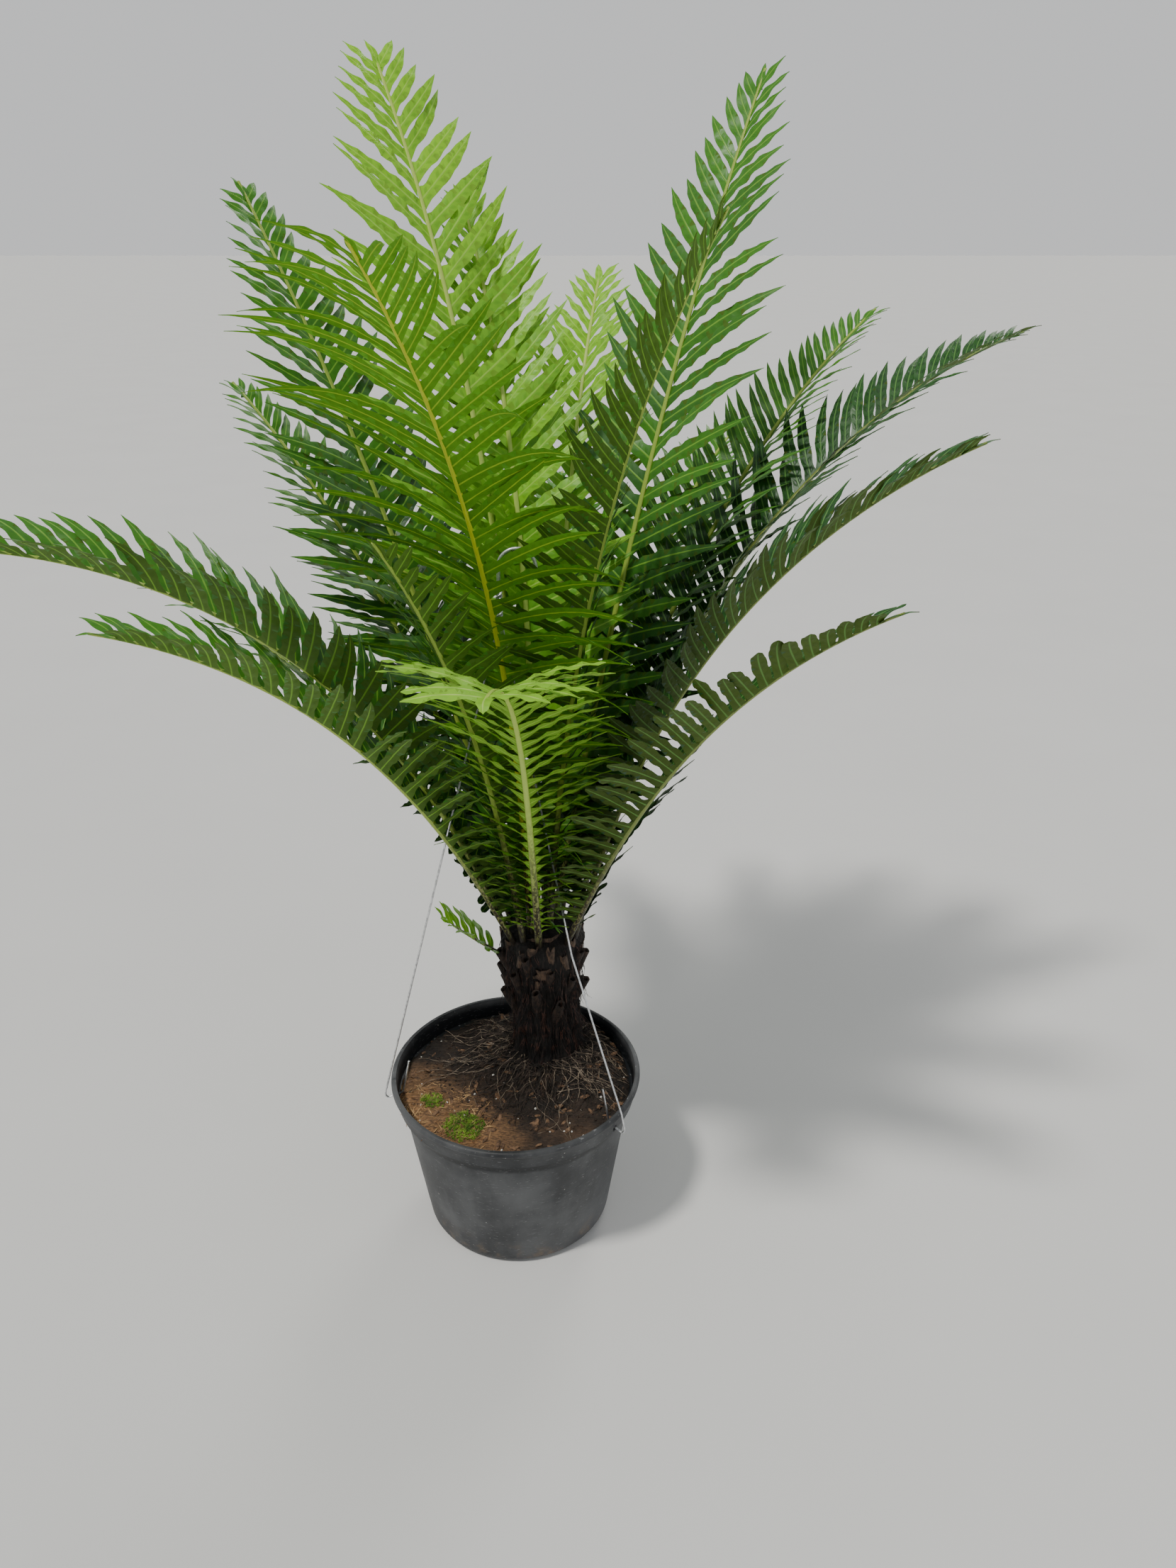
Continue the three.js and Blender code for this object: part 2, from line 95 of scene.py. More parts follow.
def piece_from(name, mesh, *materials):
    """A new object at the origin that shows the mesh, linked to the scene."""
    for material in materials:
        mesh.materials.append(material)
    piece = bpy.data.objects.new(name, mesh)
    bpy.context.scene.collection.objects.link(piece)
    return piece


def mesh_from(name, edit, sharp_above=None):
    """A smooth-shaded mesh from a bmesh, faces outward, edges sharp above that angle in degrees."""
    bmesh.ops.recalc_face_normals(edit, faces=edit.faces)
    mesh = bpy.data.meshes.new(name)
    edit.to_mesh(mesh)
    edit.free()
    mesh.shade_smooth()
    if sharp_above is not None:
        mesh.set_sharp_from_angle(angle=math.radians(sharp_above))
    return mesh


def built(name, edit, material, sharp_above=None):
    """A new piece that shows a bmesh in one material."""
    return piece_from(name, mesh_from(name, edit, sharp_above), material)


def turned(outline, segments):
    """A closed bmesh turned about the Z axis from an outline that starts and ends on it."""
    edit = bmesh.new()
    rings = []
    for radius, height in outline:
        around = [0] if radius == 0 else range(segments)
        rings.append([edit.verts.new(polar(radius, 360 * k / segments, height)) for k in around])
    for first, second in zip(rings, rings[1:]):
        for k in range(segments):
            low = [first[k % len(first)], first[(k + 1) % len(first)]]
            high = [second[(k + 1) % len(second)], second[k % len(second)]]
            edit.faces.new(dict.fromkeys(low + high))
    return edit


def cut_out(piece, cutters):
    """Cuts the closed shapes of the cutters' bmesh out of a piece and applies the cut."""
    rods = bpy.data.meshes.new("cutter")
    cutters.to_mesh(rods)
    cutters.free()
    cutter = piece_from("cutter", rods)
    boolean = piece.modifiers.new("cut", "BOOLEAN")
    boolean.operation = "DIFFERENCE"
    boolean.solver = "EXACT"
    boolean.object = cutter
    depsgraph = bpy.context.evaluated_depsgraph_get()
    cut = bpy.data.meshes.new_from_object(piece.evaluated_get(depsgraph))
    piece.modifiers.clear()
    piece.data = cut
    bpy.data.objects.remove(cutter)


def radial_rod(edit, radius, sides, length, azimuth, distance, height):
    """Adds a closed rod to a bmesh that points straight out from the Z axis."""
    made = bmesh.ops.create_cone(
        edit, cap_ends=True, segments=sides, radius1=radius, radius2=radius, depth=length
    )
    out = polar(1, azimuth, 0)
    turn = out.to_track_quat("Z", "Y")
    for vert in made["verts"]:
        vert.co = turn @ vert.co + polar(distance, azimuth, height)


def rounded(centre, radius, first, last, steps):
    """Points of an arc in an outline, from the first to the last angle in degrees."""
    angles = [math.radians(first + (last - first) * k / steps) for k in range(steps + 1)]
    return [(centre[0] + radius * math.cos(a), centre[1] + radius * math.sin(a)) for a in angles]


pot_outside = [
    (0, 0),
    *rounded((BASE_RADIUS - BASE_CORNER, BASE_CORNER), BASE_CORNER, -90, -6, 6),
    (SHOULDER_RADIUS - 0.3 * MM, SHOULDER_HEIGHT - 2 * MM),
    (SHOULDER_RADIUS + 0.2 * MM, SHOULDER_HEIGHT + 0.2 * MM),
    (COLLAR_RADIUS - 1.2 * MM, SHOULDER_HEIGHT + 2.3 * MM),
    (COLLAR_RADIUS - 0.2 * MM, SHOULDER_HEIGHT + 3.2 * MM),
    (COLLAR_RADIUS, SHOULDER_HEIGHT + 4.6 * MM),
    (COLLAR_TOP_RADIUS - 0.1 * MM, COLLAR_HEIGHT - 1.4 * MM),
    (COLLAR_TOP_RADIUS + 0.9 * MM, COLLAR_HEIGHT - 0.1 * MM),
    *rounded((LIP_RADIUS - LIP_ROLL, POT_HEIGHT - LIP_ROLL), LIP_ROLL, -50, 115, 10),
    (COLLAR_TOP_RADIUS - POT_WALL, POT_HEIGHT - 4 * MM),
]
pot_inside = [
    (COLLAR_RADIUS - POT_WALL, SHOULDER_HEIGHT + 4.5 * MM),
    (SHOULDER_RADIUS - POT_WALL, SHOULDER_HEIGHT + 1 * MM),
    (BASE_RADIUS - POT_WALL, BASE_CORNER),
    (BASE_RADIUS - POT_WALL - 3 * MM, 5 * MM),
    (BASE_RADIUS - BASE_CORNER, POT_FLOOR),
    (0, POT_FLOOR),
]


def add_node(tree, kind, sockets=None, **settings):
    """A new node with its settings, and its sockets set to a value or linked from a socket."""
    made = tree.nodes.new(kind)
    for name, value in settings.items():
        setattr(made, name, value)
    for key, value in (sockets or {}).items():
        if isinstance(value, bpy.types.NodeSocket):
            tree.links.new(value, made.inputs[key])
        else:
            made.inputs[key].default_value = value
    return made


def reckon(tree, operation, *values):
    """The result of a Math node."""
    sockets = dict(enumerate(values))
    return add_node(tree, "ShaderNodeMath", sockets, operation=operation).outputs[0]


def distance(tree, first, second=(0, 0, 0)):
    """How far apart two places are."""
    sockets = {0: first, 1: second}
    return add_node(tree, "ShaderNodeVectorMath", sockets, operation="DISTANCE").outputs["Value"]


def parts_of(tree, vector):
    """The three numbers of a vector."""
    return add_node(tree, "ShaderNodeSeparateXYZ", {0: vector}).outputs


def ramp(tree, value, low, high, smallest=0.0, largest=1.0):
    """A share that rises smoothly while a value goes from low to high."""
    sockets = {0: value, 1: low, 2: high, 3: smallest, 4: largest}
    kind = "SMOOTHSTEP"
    return add_node(tree, "ShaderNodeMapRange", sockets, interpolation_type=kind).outputs[0]


def speckle(tree, where, scale, detail=4.0, rough=0.55):
    """Soft noise from 0 to 1 about a place."""
    sockets = {"Vector": where, "Scale": scale, "Detail": detail, "Roughness": rough}
    return add_node(tree, "ShaderNodeTexNoise", sockets).outputs["Fac"]


def stretched(tree, where, scale):
    """A place scaled differently along each axis, so that a pattern on it is drawn out."""
    return add_node(tree, "ShaderNodeMapping", {"Vector": where, "Scale": scale}).outputs[0]


def tint(tree, share, first, second):
    """A colour between two, the second where the share is 1. A colour is three numbers or a socket."""
    colours = [(*c, 1) if isinstance(c, tuple) else c for c in (first, second)]
    sockets = {0: share, 6: colours[0], 7: colours[1]}
    return add_node(tree, "ShaderNodeMix", sockets, data_type="RGBA").outputs[2]


def start_material(name, **fixed):
    """A material, its tree, its shader and the place on the piece. Fixed values go on the shader."""
    material = bpy.data.materials.new(name)
    material.use_nodes = True
    tree = material.node_tree
    shader = tree.nodes["Principled BSDF"]
    for key, value in fixed.items():
        shader.inputs[key.replace("_", " ").title().replace("Ior", "IOR")].default_value = value
    where = add_node(tree, "ShaderNodeTexCoord").outputs["Object"]
    return material, tree, shader, where


def set_finish(tree, shader, colour=None, roughness=None, relief=None, depth=0.001, strength=1.0):
    """Links colour, roughness and a relief of that depth in metres to the shader."""
    if colour is not None:
        tree.links.new(colour, shader.inputs["Base Color"])
    if roughness is not None:
        tree.links.new(roughness, shader.inputs["Roughness"])
    if relief is not None:
        sockets = {"Height": relief, "Distance": depth, "Strength": strength}
        bump = add_node(tree, "ShaderNodeBump", sockets)
        tree.links.new(bump.outputs[0], shader.inputs["Normal"])


BLACK_PLASTIC = (0.010, 0.0115, 0.014)
GREY_DUST = (0.190, 0.196, 0.203)
BROWN_DUST = (0.190, 0.135, 0.085)
SCRATCH_GREY = (0.21, 0.215, 0.22)
GRIT_GREY = (0.50, 0.49, 0.46)
pot_plastic, tree, shader, where = start_material("black_pot_plastic", specular_ior_level=0.35)
height = parts_of(tree, where)[2]
off_axis = distance(tree, stretched(tree, where, (1, 1, 0)))
outside = ramp(tree, off_axis, COLLAR_RADIUS - 1.6 * MM, COLLAR_RADIUS - 0.4 * MM)
cloudy = ramp(tree, speckle(tree, where, 14, 7), 0.2, 0.8, 0.22, 0.72)
streaky = speckle(tree, stretched(tree, where, (1, 1, 0.18)), 42, 5, 0.6)
# Dust lies on the tub and on the collar. Just under the collar's edge the plastic is kept black: a painted
# shadow under the step's overhang
dust_below_painted_shade = ramp(tree, height, SHOULDER_HEIGHT - 4 * MM, SHOULDER_HEIGHT - 12 * MM, 0, 0.44)
on_collar = ramp(tree, height, SHOULDER_HEIGHT + 0.5 * MM, SHOULDER_HEIGHT + 3 * MM, 0, 0.40)
dusty = reckon(tree, "ADD", cloudy, reckon(tree, "MULTIPLY_ADD", on_collar, outside, dust_below_painted_shade))
dusty = reckon(tree, "MULTIPLY_ADD", streaky, 0.30, dusty)
film = ramp(tree, dusty, 0.70, 1.40, 0.0, 0.56)
plastic_colour = tint(tree, film, BLACK_PLASTIC, GREY_DUST)
soiled = ramp(tree, speckle(tree, where, 60, 6), 0.50, 0.72, 0.0, 0.6)
soiled = reckon(tree, "MULTIPLY", soiled, ramp(tree, height, 0.045, 0.0))
plastic_colour = tint(tree, soiled, plastic_colour, BROWN_DUST)
scratched = speckle(tree, stretched(tree, where, (1, 1, 7)), 160, 2, 0.4)
scratches = ramp(tree, scratched, 0.665, 0.72, 0.0, 0.6)
plastic_colour = tint(tree, scratches, plastic_colour, SCRATCH_GREY)
grit = ramp(tree, speckle(tree, where, 260, 2, 0.5), 0.73, 0.77, 0.0, 0.8)
plastic_colour = tint(tree, grit, plastic_colour, GRIT_GREY)
plastic_gloss = ramp(tree, dusty, 0.5, 1.1, 0.33, 0.58)
moulded = reckon(tree, "MULTIPLY_ADD", streaky, 0.5, speckle(tree, where, 260, 3))
set_finish(tree, shader, plastic_colour, plastic_gloss, moulded, 0.0004, 0.35)

pot = piece_from("nursery_pot", mesh_from("nursery_pot", turned(pot_outside + pot_inside, POT_SEGMENTS)))
cutters = bmesh.new()
for azimuth in CLIP_AZIMUTHS.values():
    radial_rod(cutters, HOLE_RADIUS, HOLE_SIDES, HOLE_CUT, azimuth, COLLAR_RADIUS, HOLE_HEIGHT)
for k in range(NOTCHES):
    notch = 360 * (k + 0.5) / NOTCHES
    radial_rod(cutters, NOTCH_RADIUS, NOTCH_SIDES, NOTCH_CUT, notch, BASE_RADIUS + 2 * MM, 0)
cut_out(pot, cutters)
pot.data.materials.append(pot_plastic)
pot.data.shade_smooth()
pot.data.set_sharp_from_angle(angle=math.radians(38))
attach(pot, "root")
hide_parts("pot")

# Potting mix
# Bark, peat and fibre packed into the pot, slumped a little from the wall, with white grit and moss.
# The trunk stands in it behind the middle of the pot.
SOIL_HEIGHT = 160 * MM
SOIL_GAP = 0.3 * MM
SOIL_RINGS = 64
LUMP_HEIGHT = 3.4 * MM
CRUMB_HEIGHT = 1.3 * MM
FRONT_LIFT = 2.5 * MM
FRONT_REACH = 130 * MM
MOUND_HEIGHT = 11 * MM
MOUND_FOOT = 45 * MM
MOUND_SPREAD = 30 * MM
SLUMP_DEPTH = 5 * MM
SLUMP_SPREAD = 7 * MM
TRUNK_FOOT = Vector((32 * MM, 57 * MM, 0))


def soil_level(place):
    """How high the top of the mix stands at a place: mounded at the trunk, slumped at the wall."""
    across = Vector((place.x, place.y, 0))
    from_wall = COLLAR_RADIUS - POT_WALL - across.length
    from_trunk = (across - TRUNK_FOOT).length
    lumps = noise.fractal(across * 38, 0.8, 2.1, 4) * LUMP_HEIGHT
    crumbs = noise.noise(across * 210) * CRUMB_HEIGHT
    raised = FRONT_LIFT * max(0, min(1, (-across.x - across.y) / FRONT_REACH))
    mound = MOUND_HEIGHT * math.exp(-((max(0, from_trunk - MOUND_FOOT) / MOUND_SPREAD) ** 2))
    slump = SLUMP_DEPTH * math.exp(-from_wall / SLUMP_SPREAD)
    return SOIL_HEIGHT + lumps + crumbs + raised + mound - slump


soil_side = [(max(radius - SOIL_GAP, 0), level + SOIL_GAP) for radius, level in reversed(pot_inside)]
soil_edge = COLLAR_RADIUS - POT_WALL - SOIL_GAP
soil_top = [(soil_edge * (1 - k / SOIL_RINGS), SOIL_HEIGHT) for k in range(SOIL_RINGS + 1)]
soil_body = turned(soil_side[:-1] + soil_top, POT_SEGMENTS)
for vert in soil_body.verts:
    if vert.co.z > SOIL_HEIGHT - 1 * MM:
        vert.co.z = soil_level(vert.co)

PEAT = (0.014, 0.009, 0.006)
BROWN_MIX = (0.085, 0.048, 0.026)
SUNLIT_ORANGE_FIBRE = (0.330, 0.175, 0.075)
BLACK_MAT_AND_SHADE = (0.007, 0.005, 0.004)
PALE_SHRED = (0.26, 0.17, 0.10)
SUNNY_SIDE = Vector((-85 * MM, -70 * MM, 160 * MM))
foot_place = (TRUNK_FOOT.x, TRUNK_FOOT.y, SOIL_HEIGHT)
potting_mix, tree, shader, where = start_material("potting_mix")
spread = speckle(tree, where, 14, 6)
shreds = speckle(tree, stretched(tree, where, (1, 2.6, 1)), 230, 5, 0.7)
loose = reckon(tree, "MULTIPLY_ADD", shreds, 0.6, spread)
# The front left corner, where the sun falls, is tinted lighter towards orange fibre: partly fibre, partly
# painted sunlight
from_corner = distance(tree, where, SUNNY_SIDE)
fibre_and_painted_sun = ramp(tree, reckon(tree, "MULTIPLY_ADD", spread, -0.09, from_corner), 0.075, 0.0)
mix_colour = tint(tree, ramp(tree, loose, 0.62, 1.02), PEAT, BROWN_MIX)
fibre_colour = tint(tree, ramp(tree, shreds, 0.35, 0.65), BROWN_MIX, SUNLIT_ORANGE_FIBRE)
mix_colour = tint(tree, fibre_and_painted_sun, mix_colour, fibre_colour)
# Round the trunk's foot, under the crown, the mix is tinted near black: matted roots, partly painted shade
from_trunk = distance(tree, where, foot_place)
matted = ramp(tree, reckon(tree, "MULTIPLY_ADD", spread, 0.09, from_trunk), 0.195, 0.140, 0, 0.88)
mix_colour = tint(tree, matted, mix_colour, BLACK_MAT_AND_SHADE)
mix_colour = tint(tree, ramp(tree, shreds, 0.64, 0.76, 0, 0.5), mix_colour, PALE_SHRED)
set_finish(tree, shader, mix_colour, ramp(tree, shreds, 0.2, 0.8, 0.98, 0.8), shreds, 0.002, 0.9)
soil = built("potting_mix", soil_body, potting_mix)
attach(soil, "root")
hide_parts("soil")


def new_tree(name, **inputs):
    """A Geometry Nodes tree with a geometry input and output and one named input per size."""
    tree = bpy.data.node_groups.new(name, "GeometryNodeTree")
    tree.interface.new_socket("Geometry", in_out="INPUT", socket_type="NodeSocketGeometry")
    for key, kind in inputs.items():
        label = key.replace("_", " ").capitalize()
        tree.interface.new_socket(label, in_out="INPUT", socket_type="NodeSocket" + kind)
    tree.interface.new_socket("Geometry", in_out="OUTPUT", socket_type="NodeSocketGeometry")
    return tree, add_node(tree, "NodeGroupInput").outputs, add_node(tree, "NodeGroupOutput").inputs


def made_by(tree, name, source, **values):
    """The plain mesh piece that a tree makes of a source mesh with those input values."""
    carrier = bpy.data.objects.new(name + "_source", source)
    bpy.context.scene.collection.objects.link(carrier)
    modifier = carrier.modifiers.new("made", "NODES")
    modifier.node_group = tree
    for item in tree.interface.items_tree:
        key = item.name.lower().replace(" ", "_")
        if item.in_out == "INPUT" and key in values:
            modifier[item.identifier] = values[key]
    depsgraph = bpy.context.evaluated_depsgraph_get()
    mesh = bpy.data.meshes.new_from_object(carrier.evaluated_get(depsgraph))
    carrier.modifiers.clear()
    bpy.data.objects.remove(carrier)
    mesh.name = name
    return piece_from(name, mesh)


def hand_out(tree, instances, given, result):
    """The end of a tree: the instances made real, in the given material."""
    real = add_node(tree, "GeometryNodeRealizeInstances", {0: instances}).outputs[0]
    sockets = {"Geometry": real, "Material": given["Material"]}
    tree.links.new(add_node(tree, "GeometryNodeSetMaterial", sockets).outputs[0], result["Geometry"])


def lump(name, seed, sizes):
    """A rough closed grain of those sizes in mm, for scattering."""
    edit = bmesh.new()
    bmesh.ops.create_icosphere(edit, subdivisions=1, radius=1)
    for vert in edit.verts:
        rough = 1 + 0.38 * noise.noise(vert.co * 1.4 + Vector((seed, 7, 3)))
        vert.co = Vector([a * b * MM * rough / 2 for a, b in zip(vert.co, sizes)])
    return bpy.data.objects.new(name, mesh_from(name, edit, 30))


def collection_of(name, shapes):
    """A collection of loose shapes that a tree can pick from. It is never part of the scene."""
    collection = bpy.data.collections.new(name)
    for shape in shapes:
        collection.objects.link(shape)
    return collection


# Loose matter is scattered over the upper faces of a piece, in a band of distances from a centre
scatter, given, result = new_tree(
    "scatter",
    grains="Collection",
    density="Float",
    seed="Int",
    centre="Vector",
    nearest="Float",
    farthest="Float",
    smallest="Float",
    largest="Float",
    tilt="Float",
    material="Material",
)
up_share = parts_of(scatter, add_node(scatter, "GeometryNodeInputNormal").outputs[0])[2]
apart = distance(scatter, add_node(scatter, "GeometryNodeInputPosition").outputs[0], given["Centre"])
chosen = reckon(scatter, "GREATER_THAN", up_share, 0.3)
chosen = reckon(scatter, "MULTIPLY", chosen, reckon(scatter, "GREATER_THAN", apart, given["Nearest"]))
chosen = reckon(scatter, "MULTIPLY", chosen, reckon(scatter, "LESS_THAN", apart, given["Farthest"]))
dots = add_node(
    scatter,
    "GeometryNodeDistributePointsOnFaces",
    {"Mesh": given["Geometry"], "Selection": chosen, "Density": given["Density"], "Seed": given["Seed"]},
).outputs["Points"]
tips = {0: given["Tilt"], 1: given["Tilt"], 2: math.pi}
tip_over = add_node(scatter, "ShaderNodeCombineXYZ", tips).outputs[0]
tip_back = add_node(scatter, "ShaderNodeVectorMath", {0: tip_over, 3: -1.0}, operation="SCALE").outputs[0]
turns = {0: tip_back, 1: tip_over, "Seed": given["Seed"]}
turn = add_node(scatter, "FunctionNodeRandomValue", turns, data_type="FLOAT_VECTOR").outputs[0]
scales = {2: given["Smallest"], 3: given["Largest"], "Seed": given["Seed"]}
growth = add_node(scatter, "FunctionNodeRandomValue", scales, data_type="FLOAT").outputs[1]
picks = {"Collection": given["Grains"], "Separate Children": True, "Reset Children": True}
shapes_in = add_node(scatter, "GeometryNodeCollectionInfo", picks).outputs[0]
placed = add_node(
    scatter,
    "GeometryNodeInstanceOnPoints",
    {"Points": dots, "Instance": shapes_in, "Pick Instance": True, "Rotation": turn, "Scale": growth},
).outputs[0]
hand_out(scatter, placed, given, result)


def strew(name, grains, material, band, sizes, **values):
    """A piece of loose matter scattered over the mix, in a band of distances from a centre."""
    limits = {"nearest": band[0], "farthest": band[1], "smallest": sizes[0], "largest": sizes[1]}
    piece = made_by(scatter, name, soil.data.copy(), grains=grains, material=material, **limits, **values)
    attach(piece, "root")


def mottled(name, grain, band, colours, finish, depth=None, strength=1.0, stretch=None, **fixed):
    """A material of two colours that a noise blends. The grain is the noise's scale, detail and
    roughness, the band where it blends, the finish where the roughness changes and from what to what."""
    material, tree, shader, where = start_material(name, **fixed)
    mottle = speckle(tree, where if stretch is None else stretched(tree, where, stretch), *grain)
    colour = tint(tree, ramp(tree, mottle, *band), *colours)
    relief = mottle if depth is not None else None
    set_finish(tree, shader, colour, ramp(tree, mottle, *finish), relief, depth, strength)
    return material


crumb_shapes = collection_of("crumbs", [lump(f"crumb_{k}", k, (3.4, 2.6, 2)) for k in range(4)])
dark_crumb = mottled(
    "dark_crumb",
    grain=(160, 3),
    band=(0.4, 0.7),
    colours=((0.012, 0.008, 0.006), (0.080, 0.044, 0.024)),
    finish=(0.2, 0.8, 0.95, 0.75),
    depth=0.001,
)
strew(
    "soil_crumbs",
    crumb_shapes,
    dark_crumb,
    (0.044, 0.135),
    (0.5, 1.3),
    density=26000,
    seed=3,
    centre=foot_place,
    tilt=1.5,
)

chip_lengths = enumerate((9, 13, 17))
chip_shapes = collection_of("bark_chips", [lump(f"chip_{k}", 10 + k, (x, 5, 2.2)) for k, x in chip_lengths])
bark = mottled(
    "bark_chip",
    grain=(190, 5, 0.65),
    band=(0.35, 0.65),
    colours=((0.040, 0.020, 0.011), (0.20, 0.110, 0.055)),
    finish=(0.3, 0.7, 0.9, 0.7),
    depth=0.0012,
    stretch=(1, 1, 3),
)
strew(
    "bark_chips",
    chip_shapes,
    bark,
    (0.052, 1),
    (0.5, 1.2),
    density=3400,
    seed=8,
    centre=foot_place,
    tilt=0.5,
)

# Light orange coir fibres strewn round the front left corner: partly fibre, partly painted sunlight where
# the sun falls
coir_lengths = enumerate((9, 14, 20))
coir_shapes = collection_of("coir", [lump(f"coir_{k}", 30 + k, (x, 0.9, 0.8)) for k, x in coir_lengths])
coir = mottled(
    "coir_fibre",
    grain=(70, 4),
    band=(0.35, 0.65),
    colours=((0.160, 0.075, 0.030), (0.520, 0.330, 0.150)),
    finish=(0.3, 0.7, 0.9, 0.7),
    depth=0.001,
)
strew(
    "coir_fibres",
    coir_shapes,
    coir,
    (0, 0.066),
    (0.5, 1.3),
    density=36000,
    seed=18,
    centre=SUNNY_SIDE,
    tilt=0.45,
)

grit_shapes = collection_of("grit", [lump(f"grain_{k}", 20 + k, (3.2, 2.8, 2.4)) for k in range(3)])
white_grit = mottled(
    "white_grit",
    grain=(700, 2),
    band=(0.3, 0.7),
    colours=((0.50, 0.47, 0.42), (0.80, 0.78, 0.74)),
    finish=(0.3, 0.7, 0.95, 0.8),
    depth=0.0006,
)
strew(
    "white_grit",
    grit_shapes,
    white_grit,
    (0.048, 1),
    (0.45, 1.1),
    density=1000,
    seed=14,
    centre=foot_place,
    tilt=3,
)

# Moss
# Two low cushions of moss on the mix at the front left, where the light reaches it.
MOSS_SPOTS = ((-0.050, -0.072, 0.020), (-0.086, -0.034, 0.012))
MOSS_SPREAD = 240000
TUFT_LEAVES = 5


def moss_tuft(name, seed):
    """A tuft of short pointed leaves that spread from one point, each a closed spike."""
    chance = random.Random(seed)
    edit = bmesh.new()
    for k in range(TUFT_LEAVES):
        azimuth = 360 / TUFT_LEAVES * k + chance.uniform(-20, 20)
        reach = chance.uniform(1.0, 2.2) * MM
        tip = edit.verts.new(polar(reach, azimuth, chance.uniform(1.6, 3.2) * MM))
        foot = [edit.verts.new(polar(0.5 * MM, azimuth + turn, 0)) for turn in (-70, 70, 180)]
        edit.faces.new(foot)
        for a, b in zip(foot, foot[1:] + foot[:1]):
            edit.faces.new((b, a, tip))
    return bpy.data.objects.new(name, mesh_from(name, edit))


moss_shapes = collection_of("moss_tufts", [moss_tuft(f"tuft_{k}", k) for k in range(3)])
moss_green = mottled(
    "moss_green",
    grain=(90, 4),
    band=(0.35, 0.7),
    colours=((0.070, 0.170, 0.012), (0.30, 0.46, 0.045)),
    finish=(0.3, 0.7, 0.9, 0.7),
)
for k, (x, y, reach) in enumerate(MOSS_SPOTS):
    strew(
        f"moss_{k + 1}",
        moss_shapes,
        moss_green,
        (0, reach),
        (0.6, 1.5),
        density=MOSS_SPREAD,
        seed=30 + k,
        centre=(x, y, SOIL_HEIGHT),
        tilt=0.3,
    )

# Hanger
# Three galvanised steel wires: each comes down outside the lip, turns in through its hole in the
# collar and stands up inside, cut off square. They meet under a crook of thicker wire.
HANGER_APEX = Vector((-4 * MM, 30 * MM, 660 * MM))
# The fronds have pushed the right wire aside, so it bends where it passes the foot of one
WIRE_BENDS = {"right": Vector((60 * MM, 17 * MM, 310 * MM))}
GATHER_RADIUS = 2.5 * MM
WIRE_RADIUS = 1 * MM
HOOK_WIRE_RADIUS = 1.8 * MM
HOOK_RADIUS = 17 * MM
SHANK_HEIGHT = 34 * MM
SHANK_RADIUS = 3 * MM
SHANK_STRANDS = 3
TWISTS = 3
WINDING_STEPS = 48
CROOK_RISE = 6 * MM
WIRE_SIDES = 12
WIRE_STEPS = 8

# A strand is a tube along every chain of edges in a mesh, as thick as its points say
strand, given, result = new_tree("strand", sides="Int", material="Material")
line = add_node(strand, "GeometryNodeMeshToCurve", {0: given["Geometry"]}).outputs[0]
thickness = add_node(strand, "GeometryNodeInputNamedAttribute", {"Name": "thickness"}).outputs[0]
sockets = {"Resolution": given["Sides"], "Radius": 1.0}
section = add_node(strand, "GeometryNodeCurvePrimitiveCircle", sockets).outputs[0]
sockets = {"Curve": line, "Profile Curve": section, "Scale": thickness, "Fill Caps": True}
tube = add_node(strand, "GeometryNodeCurveToMesh", sockets).outputs[0]
hand_out(strand, tube, given, result)


def strands(name, paths, sides, material):
    """A piece of tubes along paths, each path a list of (point, radius)."""
    points = [point for path in paths for point, _ in path]
    edges = []
    start = 0
    for path in paths:
        edges += [(start + k, start + k + 1) for k in range(len(path) - 1)]
        start += len(path)
    source = bpy.data.meshes.new(name + "_lines")
    source.from_pydata([tuple(point) for point in points], edges, [])
    thickness = source.attributes.new("thickness", "FLOAT", "POINT")
    thickness.data.foreach_set("value", [radius for path in paths for _, radius in path])
    piece = made_by(strand, name, source, sides=sides, material=material)
    piece.data.shade_smooth()
    piece.data.set_sharp_from_angle(angle=math.radians(60))
    return piece


def smooth_path(points, steps):
    """A path through points without corners, with that many steps between each two."""
    path = []
    last = len(points) - 1
    for k in range(last):
        a, b, c, d = (points[max(0, min(last, k + j))] for j in (-1, 0, 1, 2))
        for j in range(steps):
            t = j / steps
            run = 2 * b + (c - a) * t
            path.append(0.5 * (run + (2 * a - 5 * b + 4 * c - d) * t**2 + (3 * b - a - 3 * c + d) * t**3))
    return path + [points[last]]


def wire_path(side):
    """The line of one hanger wire, from under the hook to its cut end inside the pot."""
    azimuth = CLIP_AZIMUTHS[side]
    down = [polar(LIP_RADIUS + 6.1 * MM, azimuth, 168 * MM)]
    if side in WIRE_BENDS:
        down = [WIRE_BENDS[side], polar(LIP_RADIUS + 2.6 * MM, azimuth, POT_HEIGHT + 3 * MM)] + down
    heading = down[0] - HANGER_APEX
    top = HANGER_APEX + Vector((heading.x, heading.y, 0)).normalized() * GATHER_RADIUS
    hole_top = HOLE_HEIGHT + HOLE_RADIUS - WIRE_RADIUS - 0.55 * MM
    turn = [
        (LIP_RADIUS + 6.6 * MM, 163.5 * MM),
        (LIP_RADIUS + 5.4 * MM, 160.4 * MM),
        (LIP_RADIUS + 2.4 * MM, 159.4 * MM),
        (COLLAR_RADIUS + 2 * MM, hole_top - 0.6 * MM),
        (COLLAR_RADIUS - 2 * MM, hole_top),
        (COLLAR_RADIUS - 6 * MM, hole_top + 2.6 * MM),
        (COLLAR_RADIUS - 8 * MM, hole_top + 7 * MM),
        (COLLAR_RADIUS - 15 * MM, 203 * MM),
    ]
    straight = [a.lerp(b, k / WIRE_STEPS) for a, b in zip([top] + down, down) for k in range(WIRE_STEPS)]
    clip = [down[-1]] + [polar(radius, azimuth, level) for radius, level in turn]
    return straight + smooth_path(clip, 4)


